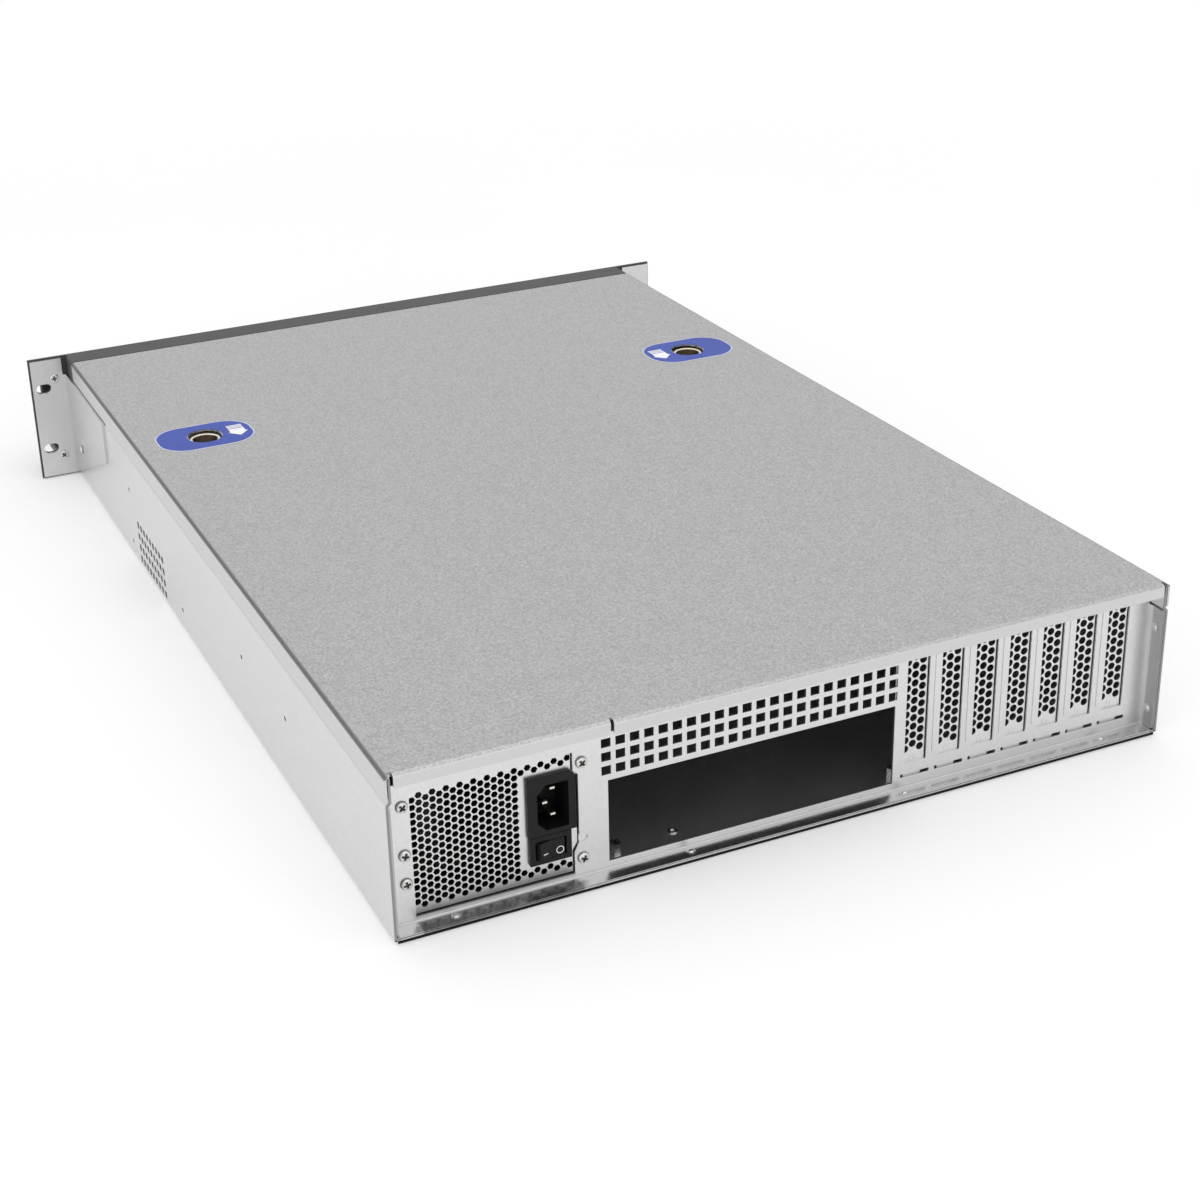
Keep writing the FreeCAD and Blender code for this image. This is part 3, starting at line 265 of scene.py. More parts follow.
# Painted light: the folded edges below the top get a lighter plain grey, for the brighter light on the sides.
shaded(shader, below.above(0.9 * MM, 0.6 * MM) * 0.85, 212)
# Painted shade: a dark band is painted along the cover's two long bends.
painted_bend_shade = 1 - (across * across + below * below).root().above(1.2 * MM, 1.0 * MM)
shaded(shader, painted_bend_shade * 0.8, 90)
print("made", cover_steel.name)

# %% [markdown]
# ## The rear wall's bright foot
#
# The wall's lower flange lies flat on the base and shines like a mirror: the grille and the board window
# are seen in it upside down. It is the same sheet as the wall above, so one mask on the height makes the
# finish smoother there. The press brake left the flange a little bowed. A bump whose height falls steadily
# with the distance from the wall tilts the reflections as the bow does, and the fold itself stays dull.
# Under the power supply the flange is painted dark and blotchy, as a painted reflection of the grille above
# it. The flat flange is painted a little darker, and the side flanges darker still, as painted dark
# reflections.

# %% The rear wall's finish
wall_steel, place, shader = galvanised("wall_steel", 218, 0.30, 0.08, 1.4, 0.06)
parts = coordinates(place)
rivet_gap, side_face, grille_right, grille_left = 2.3 * MM, 212 * MM, 118 * MM, 200 * MM
wall_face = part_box("wall_rivets")[0][1] - rivet_gap
wall_out = parts["Y"] - wall_face
upright = parts["Z"].above(2.9 * MM, 0.8 * MM)
between_sides = 1 - abs(parts["X"]).above(side_face, 0.3 * MM)
near_fold = (1 - wall_out.above(0.5 * MM, 0.9 * MM)) * (1 - parts["Z"].above(3.2 * MM, 0.8 * MM))
clouds = noise(place, 9.0, 4.0)
link(0.20 + clouds * 0.12 + upright * 0.08 + near_fold * 0.24, shader["Roughness"])
under_grille = parts["X"].above(grille_right, 2 * MM) * (1 - parts["X"].above(grille_left, 1 * MM))
# Painted reflection: the flange under the grille is painted dark and blotchy, for the grille's dark image in
# it.
painted_grille_reflection = under_grille * wall_out.above(1.2 * MM, 0.8 * MM) * (1 - upright) * (0.35 + clouds * 0.5)
# Painted reflection: the flat flange is painted a little darker, and the inner faces of the side flanges
# darker still.
shaded(shader, (1 - upright) * between_sides * 0.16, 60)
shaded(shader, (1 - between_sides) * wall_out.above(1.5 * MM, 1.5 * MM) * 0.4, 60)
shaded(shader, painted_grille_reflection, 46)
bow = wall_out * between_sides * -0.15 + clouds * 0.00002
link(bumped(bow, 1 / MM), shader["Normal"])  # the bow is in metres already
print("made", wall_steel.name, "wall face at", round(wall_face, 4))

# %% [markdown]
# ## Screws, springs and pins
#
# Screw heads are plated and brighter than the sheet. Rolling and driving leave them a little uneven, so
# their roughness wanders. The springs are blued strip, and the inlet's pins are nickel plated brass.

# %% Small metal parts
def plated(name, red, green, blue, roughness, wander, lump, painted_shade=False):
    """Plated metal whose gloss and colour wander; painted shade darkens it where the mesh says so."""
    material, place, shader = new_finish(name, Metallic=1.0)
    spots = noise(place, lump, 3.0)
    base = np.array(colour(red, green, blue)[:3])
    metal = spots.mixed((*(base * 0.8), 1.0), (*(base * 1.15), 1.0))
    if painted_shade:
        # Painted shade: the point attribute darkens the cross recess and the rim of each screw head.
        dark = place.node("ShaderNodeAttribute", {"attribute_name": "dark"})["Fac"]
        metal = dark.mixed(metal, grey(38))
    link(metal, shader["Base Color"])
    link(roughness + (spots - 0.5) * wander, shader["Roughness"])
    link(bumped(spots, 0.02), shader["Normal"])
    return material


screw_steel = plated("screw_steel", 205, 205, 203, 0.26, 0.2, 0.8)
screw_head_steel = plated("screw_head_steel", 214, 214, 211, 0.3, 0.2, 0.8, painted_shade=True)
spring_steel = plated("spring_steel", 120, 124, 132, 0.34, 0.2, 2.0)
pin_metal = plated("pin_metal", 226, 222, 214, 0.2, 0.16, 1.0)
shell_metal = plated("shell_metal", 206, 208, 210, 0.28, 0.12, 2.0)
print("made", screw_steel.name, spring_steel.name, pin_metal.name, shell_metal.name)

# %% [markdown]
# ## Black plastic and black paint
#
# The inlet, the switch and the fans are moulded plastic with a fine spark-eroded texture. The front panel
# and the handles are powder coated, which dries to a skin of small bumps like orange peel. Both are black
# with no metal in them: the bumps in the normal make them look different. A thin band along the rear edge of
# the front panel, where it dips under the lid, is painted near black, as a painted shadow line in the gap.

# %% Plastics and paint
def moulded(name, level, roughness, grain_size, depth, dust=0.1, sheen=0.5):
    """A dark plastic or paint: bumps of grain_size millimetres, a trace of dust, and sheen for its gloss."""
    material, place, shader = new_finish(name, Metallic=0.0, Specular_IOR_Level=sheen)
    bumps = noise(place, grain_size, 2.0)
    patches = noise(place, 22.0, 4.0)
    link((patches * dust + bumps * 0.25).mixed(grey(level), grey(level + 26)), shader["Base Color"])
    link(roughness + (patches - 0.5) * 0.12 + (bumps - 0.5) * 0.10, shader["Roughness"])
    link(bumped(bumps, depth), shader["Normal"])
    return material, place, shader


socket_plastic = moulded("socket_plastic", 12, 0.42, 0.35, 0.02, 0.05, 0.22)[0]
fan_plastic = moulded("fan_plastic", 20, 0.45, 0.6, 0.03, 0.1, 0.3)[0]
key_plastic = moulded("key_plastic", 52, 0.35, 0.4, 0.02)[0]
panel_paint, place, shader = moulded("panel_paint", 46, 0.50, 0.7, 0.06)
# Painted shadow: a thin band at the front panel's rear edge, where it meets the lid, is painted near black.
shaded(shader, coordinates(place)["Y"].above(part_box("front_panel")[1][1] - 1.6 * MM, 0.3 * MM), 5)
handle_paint = moulded("handle_paint", 40, 0.42, 0.5, 0.04)[0]
print("made", socket_plastic.name, fan_plastic.name, key_plastic.name, panel_paint.name, handle_paint.name)

# %% [markdown]
# ## Circuit boards
#
# The power supply's board and the small board behind the controls are woven glass in resin, with copper
# tracks under a coloured lacquer. Bands of a wave, a little bent, stand for the tracks. The tall parts on
# the power supply's board belong to the same solid, so height decides what is board and what is part.

# %% Boards
def circuit_board(name, first, second, top):
    """Lacquered board with faint tracks, and darker parts where Z is over top, in metres."""
    material, place, shader = new_finish(name, Metallic=0.0)
    bands = place.node("ShaderNodeTexWave", {"bands_direction": "X"},
                       {"Vector": place, "Scale": 90.0, "Distortion": 6.0})["Fac"]
    tracks = bands.above(0.75, 0.1)
    weave = noise(place, 0.8, 2.0)
    board = (tracks * 0.6 + weave * 0.25).mixed(first, second)
    tall = coordinates(place)["Z"].above(top, 0.2 * MM)
    body = noise(place, 6.0, 3.0).mixed(grey(22), colour(50, 46, 36))
    link(tall.mixed(board, body), shader["Base Color"])
    link(0.35 + weave * 0.2, shader["Roughness"])
    link(bumped(tracks + weave * 0.4, 0.03), shader["Normal"])
    return material


# Painted shade: the power supply's board keeps a brown lacquer but is darkened, for the dark inside of the
# closed supply.
psu_board_finish = circuit_board("psu_board", colour(44, 40, 26), colour(70, 62, 40), 10.0 * MM)
control_board_finish = circuit_board("control_board", colour(20, 84, 52), colour(60, 128, 84), 1.0)
print("made", psu_board_finish.name, control_board_finish.name)

# %% [markdown]
# ## Meshes from numpy
#
# A surface is worked out as whole arrays of points and then handed to Blender in one go. `grid_faces` joins
# the points of a grid into four-sided faces, and `new_piece` builds the object, makes its faces point
# outwards and lets it ride on a body of the frame.

# %% Mesh helpers
def grid_faces(rows, columns):
    """Faces of a grid of points numbered row by row, with the last column joined to the first."""
    r, c = np.arange(rows - 1)[:, None], np.arange(columns)[None, :]
    r1, c1 = r + 1, (c + 1) % columns
    corners = [r * columns + c, r * columns + c1, r1 * columns + c1, r1 * columns + c]
    return np.stack(corners, axis=-1).reshape(-1, 4)


def new_piece(name, points, faces, finish, body, slot, stands_for=(), smooth=30.0):
    """Builds a closed piece from points in millimetres; an optional fourth column is each point's painted
    shade.
    """
    mesh = bpy.data.meshes.new(name)
    points = np.asarray(points, float)
    points = points.reshape(-1, points.shape[-1])
    mesh.from_pydata((points[:, :3] * MM).tolist(), [], [list(map(int, f)) for f in faces])
    if points.shape[1] == 4:
        dark = mesh.attributes.new("dark", "FLOAT", "POINT")
        dark.data.foreach_set("value", points[:, 3].astype(np.float32))
    shape = bmesh.new()
    shape.from_mesh(mesh)
    bmesh.ops.remove_doubles(shape, verts=shape.verts, dist=1e-6)
    bmesh.ops.dissolve_degenerate(shape, edges=shape.edges, dist=1e-7)
    bmesh.ops.recalc_face_normals(shape, faces=shape.faces)
    for face in shape.faces:
        face.smooth = True
    limit = math.radians(smooth)
    for edge in shape.edges:
        edge.smooth = len(edge.link_faces) == 2 and edge.calc_face_angle(0.0) < limit
    shape.to_mesh(mesh)
    shape.free()
    mesh.materials.append(finish)
    piece = bpy.data.objects.new(name, mesh)
    bpy.context.scene.collection.objects.link(piece)
    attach(piece, body)
    if stands_for:
        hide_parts(*stands_for)
    print(name, "faces:", len(mesh.polygons))
    return piece


def together(parts):
    """Joins several (points, faces) pairs into one pair."""
    points, faces, start = [], [], 0
    for p, f in parts:
        p = np.asarray(p, float)
        p = p.reshape(-1, p.shape[-1])
        points.append(p)
        faces.extend([[int(i) + start for i in face] for face in f])
        start += len(p)
    return np.concatenate(points), faces


# %% [markdown]
# ## Perforated sheet
#
# A grille is a flat outline with many holes, given a thickness. The flat part is found by a constrained
# Delaunay triangulation, which keeps every hole's edge, and the walls of the holes are bands of four-sided
# faces between the front and the back. The holes come from one polygon added to an array of centres.

# %% A pierced sheet
FLAT, REAR, SIDE = (0, 1, 2), (0, 2, 1), (1, 2, 0)  # axes of a sheet's two directions and its thickness


def rectangle(u0, u1, v0, v1):
    """The four corners of a rectangle, in turn."""
    return np.array([(u0, v0), (u1, v0), (u1, v1), (u0, v1)])


def polygon(radius, sides, turn=0.0):
    """Corners of a regular polygon: the cosine and sine of equal steps of angle, times the radius."""
    angle = math.radians(turn) + np.arange(sides) * 2 * math.pi / sides
    return np.stack([np.cos(angle), np.sin(angle)], axis=-1) * radius


def at_every(centres, corners):
    """One copy of the corners round each centre."""
    return np.asarray(centres)[:, None, :] + corners[None, :, :]


def pierced(outline, holes, low, high, axes):
    """Points and faces of a sheet between the levels low and high; axes is FLAT, REAR or SIDE."""
    rings = [np.asarray(outline, float)] + [np.asarray(h, float) for h in holes]
    flat = np.concatenate(rings)
    starts = np.cumsum([0] + [len(r) for r in rings])
    loops = [list(range(a, b)) for a, b in zip(starts, starts[1:])]
    found = delaunay_2d_cdt([Vector(p) for p in flat.tolist()], [], loops, 2, 1e-6)
    plane = np.array([list(p) for p in found[0]])
    count = len(plane)
    kept_as = {given: kept for kept, came_from in enumerate(found[3]) for given in came_from}
    points = np.zeros((2 * count, 3))
    for half, level in ((0, low), (1, high)):
        points[half * count:(half + 1) * count, axes[0]] = plane[:, 0]
        points[half * count:(half + 1) * count, axes[1]] = plane[:, 1]
        points[half * count:(half + 1) * count, axes[2]] = level
    faces = [list(f) for f in found[2]] + [[i + count for i in reversed(f)] for f in found[2]]
    for start, stop in zip(starts, starts[1:]):
        index = [kept_as[given] for given in range(start, stop)]
        faces += [[a, b, b + count, a + count] for a, b in zip(index, index[1:] + index[:1])]
    return points, faces


def slab(x0, x1, y0, y1, z0, z1):
    """Points and faces of a plain plate, used only as a part of a folded piece."""
    return pierced(rectangle(x0, x1, y0, y1), [], z0, z1, FLAT)


def box_mm(node):
    """A CAD node's lowest and highest corners in millimetres."""
    low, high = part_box(node)
    return np.array(low) / MM, np.array(high) / MM


# %% [markdown]
# ## The power supply's grille
#
# The rear of the power supply is punched with small hexagons in a honeycomb, right up to the inlet and the
# switch. The CAD solid has a coarser honeycomb, because each hole costs facets there. Here the real pitch
# is used, and the base and the fan end go with it, because all three are folded from one sheet.

# %% The power supply's case
case_low, case_high = box_mm("psu_case")
inlet_low, inlet_high = box_mm("inlet_socket")
switch_low, switch_high = box_mm("switch_frame")
case_sheet, pitch, hole_radius = 1.0, 3.88, 1.80
grille_x, grille_z, grille_rows = 195.5, 9.6, 17
columns = np.arange(-1, 23)
step = pitch * math.sqrt(3) / 2
across, up = np.meshgrid(grille_x - columns * step, grille_z + np.arange(grille_rows) * pitch, indexing="ij")
up = up + (columns[:, None] % 2) * pitch / 2
centres = np.stack([across.ravel(), up.ravel()], axis=-1)
side_margin, end_margin, reach = 2.2, 2.6, 1.8
x, z = centres.T
past_ends = (z > inlet_high[2] + end_margin) | (z < switch_low[2] - end_margin)
clear = (x > inlet_high[0] + side_margin) | (past_ends & (x > inlet_low[0] + reach))
holes = list(at_every(centres[clear & (z < case_high[2] - side_margin)], polygon(hole_radius, 6)))

room = 0.2
windows = ((inlet_low, inlet_high, 2.6 - room, 1.3 - room), (switch_low, switch_high, 1.2 - room, 1.2 - room))
for (x0, _, z0), (x1, _, z1), lip_x, lip_z in windows:
    holes.append(rectangle(x0 + lip_x, x1 - lip_x, z0 + lip_z, z1 - lip_z))
print("holes:", len(holes), "and the nearest to the slit at", round(min(h[:, 0].min() for h in holes), 2))

# A thin dark slit runs round the window's stepped edge: its width, its play and its cut corners.
shadow, hair, nick = 0.7, 0.05, 0.3
win_right, win_step, win_left, win_top, win_foot = 119.4, 116.8, 200.4, 70.6, 4.4
notch_low, notch_high = switch_low[2] + 6.1, switch_low[2] + 10.7
edge_line = np.array([(win_right, win_top), (win_right, 61.0), (win_step, 58.4), (win_step, notch_high),
                      (win_step, notch_low), (win_right, switch_low[2] + 1.6), (win_right, win_foot + hair)])
corner_in = np.array([(0, 0), (0, nick), (0, nick), (0, 0), (0, 0), (0, nick), (0, shadow + nick)])
foot_line = [(win_left, win_foot + hair), (win_left, win_foot + hair + shadow + nick)]
holes.append(np.concatenate([edge_line + (0.02, 0), foot_line, (edge_line + (shadow, 0) + corner_in)[::-1]]))

rear_outline = rectangle(case_low[0], case_high[0], case_low[2], case_high[2])
rear = pierced(rear_outline, holes, case_high[1] - case_sheet, case_high[1], REAR)
floor_part = slab(case_low[0], case_high[0], case_low[1] + case_sheet, case_high[1] - case_sheet,
                  case_low[2], case_low[2] + case_sheet)
fan_low, fan_high = box_mm("psu_fan_frame")
eye = (fan_low + fan_high)[[0, 2]] / 2 + polygon((fan_high[0] - fan_low[0]) * 0.46, 40)
front = pierced(rear_outline, [eye], case_low[1], case_low[1] + case_sheet, REAR)
new_piece("psu_grille_case", *together([rear, floor_part, front]), psu_steel, "chassis", "psu_steel",
          ["psu_case"])

# %% [markdown]
# ## The slot covers
#
# Seven brackets close the expansion slots. Each is a strip with a narrower tongue at its foot, a tab folded
# over at its top for a screw, and rows of round holes set half a pitch apart. A small raised arch near the
# foot stiffens it. The strip is one pierced sheet; the tab and the arch are added to the same mesh.

# %% The slot covers
def arch(x, z, width, height, line, y0, y1):
    """A raised arch: a half ring on two straight legs, each a band swept along the arch's middle line."""
    turn = np.linspace(0, math.pi, 13)
    radius = width / 2
    middle = np.stack([x + radius * np.cos(turn), z + height - radius + radius * np.sin(turn)], axis=-1)
    middle = np.concatenate([[[x + radius, z]], middle, [[x - radius, z]]])
    out = np.concatenate([[[1, 0]], np.stack([np.cos(turn), np.sin(turn)], axis=-1), [[-1, 0]]])
    outer, inner = middle + out * line / 2, middle - out * line / 2
    return pierced(np.concatenate([outer, inner[::-1]]), [], y0, y1, REAR)


plate_rear = case_high[1]
tongue_half, tongue_top, shoulder, tab_sheet = 5.1, 10.2, 12.6, 0.9
first_x, first_z, step_x, step_z, slot_hole_radius = 2.72, 23.6, 4.35, 4.92, 2.1
column, row = np.meshgrid(np.arange(3), np.arange(11), indexing="ij")
grid = np.stack([first_x + column * step_x, first_z + (row + column % 2 / 2) * step_z], axis=-1).reshape(-1, 2)
for number in range(1, 8):
    node = f"slot_cover_{number}"
    (right, front, foot), (left, rear, top) = box_mm(node)
    tongue, tab = (left + right) / 2 - 2.3, top - tab_sheet
    tongue_left, tongue_right = tongue + tongue_half, tongue - tongue_half
    outline = [(left, tab), (left, shoulder), (tongue_left, tongue_top), (tongue_left, foot),
               (tongue_right, foot), (tongue_right, tongue_top), (right, shoulder), (right, tab)]
    slot_holes = list(at_every(grid + (right, 0), polygon(slot_hole_radius, 12, 15)))
    strip_part = pierced(outline, slot_holes, front, plate_rear, REAR)
    tab_part = slab(right, left, front, rear, tab, top)
    arch_part = arch(right + 7.0, 16.0, 2.4, 3.9, 0.45, plate_rear - 0.1, plate_rear + 0.22)
    new_piece(f"slot_bracket_{number}", *together([strip_part, tab_part, arch_part]), psu_steel, "chassis",
              "psu_steel", [node])

# %% [markdown]
# ## Round things
#
# A profile turned about an upright axis gives the latch buttons, the rivets and a boss on the base. The
# profile is a list of radius and height pairs, and the surface is that list times a ring of angles.

# %% Turned pieces
def turned(profile, centre, steps):
    """A profile of (radius, height) spun about Z: radius times the cosine and sine of the angle."""
    profile = np.asarray(profile, float)
    angle = np.arange(steps) * 2 * math.pi / steps
    u = profile[:, :1] * np.cos(angle)
    v = profile[:, :1] * np.sin(angle)
    w = np.repeat(profile[:, 1:], steps, axis=1)
    return np.stack([u, v, w], axis=-1) + centre, grid_faces(len(profile), steps)


def rounded(profile_start, profile_end, corner, radius, steps=6):
    """A quarter round between two directions at a corner of a profile."""
    corner = np.asarray(corner, float)
    a = np.asarray(profile_start, float) - corner
    b = np.asarray(profile_end, float) - corner
    a, b = a / np.linalg.norm(a), b / np.linalg.norm(b)
    t = np.linspace(0, math.pi / 2, steps)[:, None]
    return corner + radius * (a + b) - radius * (b * np.cos(t) + a * np.sin(t))


# %% [markdown]
# ## The cover's two latches
#
# A latch is a round button that stands a little below the lid in an oval hole. Its rim is bare metal and
# its dish is coloured dark brown. The button is turned from one profile; the finish takes the height to tell
# the bare rim from the dish, which lies deeper.

# %% Latch buttons
def latch_finish(side, top):
    """Bare rim and dark dish: the mask is the height below the button's top."""
    material, place, shader = new_finish(f"latch_button_{side}", Metallic=0.7)
    bare = coordinates(place)["Z"].above((top - 0.6) * MM, 0.2 * MM)
    clouds = noise(place, 2.4, 3.0)
    dish = clouds.mixed(colour(46, 37, 26), colour(70, 58, 42))
    link(bare.mixed(dish, colour(238, 230, 208)), shader["Base Color"])
    link(0.34 + clouds * 0.15, shader["Roughness"])
    link(bumped(clouds, 0.02), shader["Normal"])
    return material


for side in ("left", "right"):
    low, high = box_mm(f"latch_button_{side}")
    x, y = (low[0] + high[0]) / 2, (low[1] + high[1]) / 2
    stem, collar, collar_thick, bar_sheet = 9.6, 11.5, 1.5, 1.2
    top, foot, under_bar = high[2], low[2], box_mm("cross_bar")[1][2] - bar_sheet
    collar_foot = under_bar - collar_thick
    profile = np.concatenate([
        [(0, foot), (stem, foot), (stem, collar_foot), (collar, collar_foot), (collar, under_bar),
         (stem, under_bar)],
        rounded((stem, foot), (0, top), (stem, top), 0.5),
        rounded((stem, top), (stem - 2, top - 4), (stem - 1.6, top), 0.3, 4),
        [(stem - 3.0, top - 3.4), (stem - 3.8, top - 3.9), (stem - 5.2, top - 4.0), (0, top - 4.0)],
    ])
    new_piece(f"latch_cap_{side}", *turned(profile, (x, y, 0), 64), latch_finish(side, top),
              f"button_{side}", "latch_button", [f"latch_button_{side}"])

# %% [markdown]
# ## The leaf springs
#
# A bowed strip of spring steel pushes each button up, and lies flat when the button is down. A rigid piece
# can't do that, so the strip is made again here, as a parabola with a thickness and a mesh of its own; the
# share of its height that it would keep with the button down is printed.

# %% Leaf springs
spring_sheet, button_travel, slack = 0.5, 4.0, 0.1
for side in ("left", "right"):
    low, high = box_mm(f"latch_spring_{side}")
    along = np.linspace(-1, 1, 25)
    y = (low[1] + high[1]) / 2 + along * (high[1] - low[1]) / 2
    z = low[2] + (high[2] - low[2] - spring_sheet) * (1 - along ** 2)
    strip = np.concatenate([np.stack([y, z], axis=-1), np.stack([y, z + spring_sheet], axis=-1)[::-1]])
    leaf = new_piece(f"leaf_spring_{side}", *pierced(strip, [], low[0], high[0], SIDE), spring_steel,
                     "chassis", "spring_steel", [f"latch_spring_{side}"])
    keep = (high[2] - low[2] - button_travel - slack) / (high[2] - low[2])
    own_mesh(leaf)
    print(leaf.name, "keeps", round(keep, 3), "of its height")

# %% [markdown]
# ## The blue labels
#
# Round each latch hole lies a printed label with large round corners, blue with a hair-thin pale edge. The
# distance to the edge of such a shape is easy to write: it is the distance to a smaller plain rectangle,
# less the corner's radius. The finish uses it for the pale edge, so the print follows the cut.

# %% Labels
def rounded_rectangle(width, height, radius, steps=6):
    """Corners of a rectangle, each replaced by a quarter circle."""
    angle = np.linspace(0, math.pi / 2, steps)
    quarter = np.stack([np.cos(angle), np.sin(angle)], axis=-1) * radius
    turns = [np.array([[1, 0], [0, 1]]), np.array([[0, 1], [-1, 0]]), np.array([[-1, 0], [0, -1]]),
             np.array([[0, -1], [1, 0]])]
    centres = [(1, 1), (-1, 1), (-1, -1), (1, -1)]
    inner = np.array([width / 2 - radius, height / 2 - radius])
    return np.concatenate([quarter @ t + np.array(c) * inner for t, c in zip(turns, centres)])


def label_finish(side, middle, size, radius):
    """Blue print with a pale edge, by the distance to the rectangle of the corners' middles."""
    material, place, shader = new_finish(f"label_{side}", Metallic=0.0, Specular_IOR_Level=0.22)
    parts = coordinates(place)
    past = []
    for axis, centre, extent in zip("XY", middle, size):
        off = abs(parts[axis] - centre * MM)
        past.append((off - (extent / 2 - radius) * MM).at_least(0.0))
    distance = (past[0] * past[0] + past[1] * past[1]).root()
    edge = distance.above((radius - 0.75) * MM, 0.1 * MM)
    ink = noise(place, 1.1, 3.0)
    wear = noise(place, 14.0, 3.0)
    blue = (ink * 0.5 + wear * 0.5).mixed(colour(42, 66, 160), colour(62, 88, 184))
    link(edge.mixed(blue, colour(214, 219, 234)), shader["Base Color"])
    link(0.36 + ink * 0.1, shader["Roughness"])
    link(bumped(ink, 0.01), shader["Normal"])
    return material


corner, ink_height = 18.0, 0.05
for side in ("left", "right"):
    low, high = box_mm(f"latch_label_{side}")
    middle, size = ((low + high) / 2)[:2], (high - low)[:2]
    outline = rounded_rectangle(*size, corner, 16) + middle
    hole = rounded_rectangle(22.2, 23.0, 11.0, 16) + middle
    new_piece(f"label_{side}", *pierced(outline, [hole], low[2], high[2] - ink_height, FLAT),
              label_finish(side, middle, size, corner), "cover", "label_blue", [f"latch_label_{side}"])

# %% [markdown]
# ## The white arrows
#
# Each label carries a plain block arrow beside its hole, which says which way the lid slides. Its tail is
# broken into bars. It is print, so it is only a skin of ink over the label, and it rides with the lid.

# %% Arrows
arrow_white, place, shader = new_finish("arrow_white", Metallic=0.0)
ink = noise(place, 0.9, 3.0)
link(ink.mixed(grey(250), grey(255)), shader["Base Color"])
link(0.4 + ink * 0.1, shader["Roughness"])
shaft, barb, tail_y, neck_y, tip_y = 4.9, 6.45, -107.0, -101.4, -94.8
bar_y, bar_height, bar_step, ink_depth = -109.3, 1.3, 2.1, 0.02
shape = np.array([(-shaft, tail_y), (shaft, tail_y), (shaft, neck_y), (barb, neck_y), (0, tip_y),
                  (-barb, neck_y), (-shaft, neck_y)])
bars = [rectangle(-shaft, shaft, 0, bar_height) + (0, bar_y - bar_step * k) for k in range(3)]
for side, centre in (("left", -149.5), ("right", 149.5)):
    top = box_mm(f"latch_label_{side}")[1][2]
    foot = top - ink_height - ink_depth
    prints = [pierced(ink + (centre, 0), [], foot, top, FLAT) for ink in [shape] + bars]
    new_piece(f"arrow_{side}", *together(prints), arrow_white, "cover", "label_blue")

# %% [markdown]
# ## Screw heads and rivets
#
# The screws are pan heads with a cross recess, and the rivets are plain domes. A head is a height over a
# disc: the dome falls a little with the square of the radius and steeply at its rim, with a high power of
# it, and the cross is cut where a point lies near either arm of the cross and not too far out. The disc is
# a polar grid, so its middle needs no seam.

# %% Screw heads
def screw(radius, height, recess=1.1, turn=0.0):
    """A pan head in its own frame: dome height minus a cross-shaped dip, over a polar grid, closed below."""
    rings, steps = 24, 72
    r = np.linspace(0, 1, rings)[:, None]
    angle = np.arange(steps)[None, :] * 2 * math.pi / steps
    u, v = r * np.cos(angle), r * np.sin(angle)
    dome = height * (1 - 0.30 * r ** 2 - 0.70 * r ** 12)
    c, s = math.cos(turn), math.sin(turn)
    p, q = c * u + s * v, -s * u + c * v
    arm = np.minimum(np.abs(p), np.abs(q))
    cross = np.clip((0.19 - arm) / 0.06, 0, 1) * np.clip((0.62 - r) / 0.12, 0, 1)
    # Painted shade: the cross recess and a thin ring at the rim are darkened, for shade in the recess and
    # round the head.
    dark = np.maximum(cross * 0.9, np.clip((r - 0.93) / 0.05, 0, 1) + 0 * u)
    top = np.stack([u * radius, v * radius, dome - recess * cross, dark], axis=-1)
    rim = top[-1:] * (1, 1, 0, 0) + (0, 0, -0.05, 1)
    middle = rim * (0, 0, 1, 1)
    points = np.concatenate([top, rim, middle])
    return points, grid_faces(rings + 2, steps)


def placed(part, centre, axis, flip=1):
    """Stands a head on its seat: its own height runs along the third of the axes, or against it."""
    points, faces = part
    points = np.asarray(points)
    moved = points.reshape(-1, points.shape[-1]).copy()
    moved[:, list(axis)] = moved[:, :3] * (1, 1, flip)
    moved[:, :3] += centre
    return moved, faces


def seats(node):
    """The lowest and the highest corner of each separate head of a node, in millimetres and in order."""
    shape = bmesh.new()
    shape.from_mesh(nodes[node].data)
    bmesh.ops.remove_doubles(shape, verts=shape.verts, dist=1e-6)
    left, found = set(shape.verts), []
    while left:
        stack, members = [left.pop()], []
        while stack:
            vertex = stack.pop()
            members.append(list(vertex.co))
            for edge in vertex.link_edges:
                other = edge.other_vert(vertex)
                if other in left:
                    left.remove(other)
                    stack.append(other)
        cloud = np.array(members) / MM
        found.append((cloud.min(0), cloud.max(0)))
    shape.free()
    return sorted(found, key=lambda pair: tuple(np.round(pair[0], 2)))


psu_heads, tab_heads = [], []
for k, (low, high) in enumerate(seats("psu_screws")):
    middle = (low + high) / 2
    psu_heads.append(placed(screw(3.1, 1.8, turn=0.35 + 0.5 * k), (middle[0], low[1], middle[2]), REAR))
for k, (low, high) in enumerate(seats("slot_screws")):
    middle = (low + high) / 2
    tab_heads.append(placed(screw(3.2, 2.0, turn=0.2 + 0.7 * k), (middle[0], middle[1], low[2]), FLAT))
for name, heads in (("psu", psu_heads), ("slot", tab_heads)):
    new_piece(f"{name}_screw_heads", *together(heads), screw_head_steel, "chassis", "screw_steel",
              [f"{name}_screws"], 40)

# %% Ear screws and rivets
ear_heads = []
for k, (low, high) in enumerate(seats("ear_screws")):
    middle, size = (low + high) / 2, high - low
    if size[0] < size[1]:
        out = 1 if middle[0] > 0 else -1
        seat = low[0] if out > 0 else high[0]
        ear_heads.append(placed(screw(2.9, 1.8, turn=0.4 * k), (seat, middle[1], middle[2]), SIDE, out))
    else:
        ear_heads.append(placed(screw(3.4, 0.8, 0.5, 0.6 * k), (middle[0], low[1], middle[2]), REAR))
new_piece("ear_screw_heads", *together(ear_heads), screw_head_steel, "chassis", "screw_steel",
          ["ear_screws"], 40)

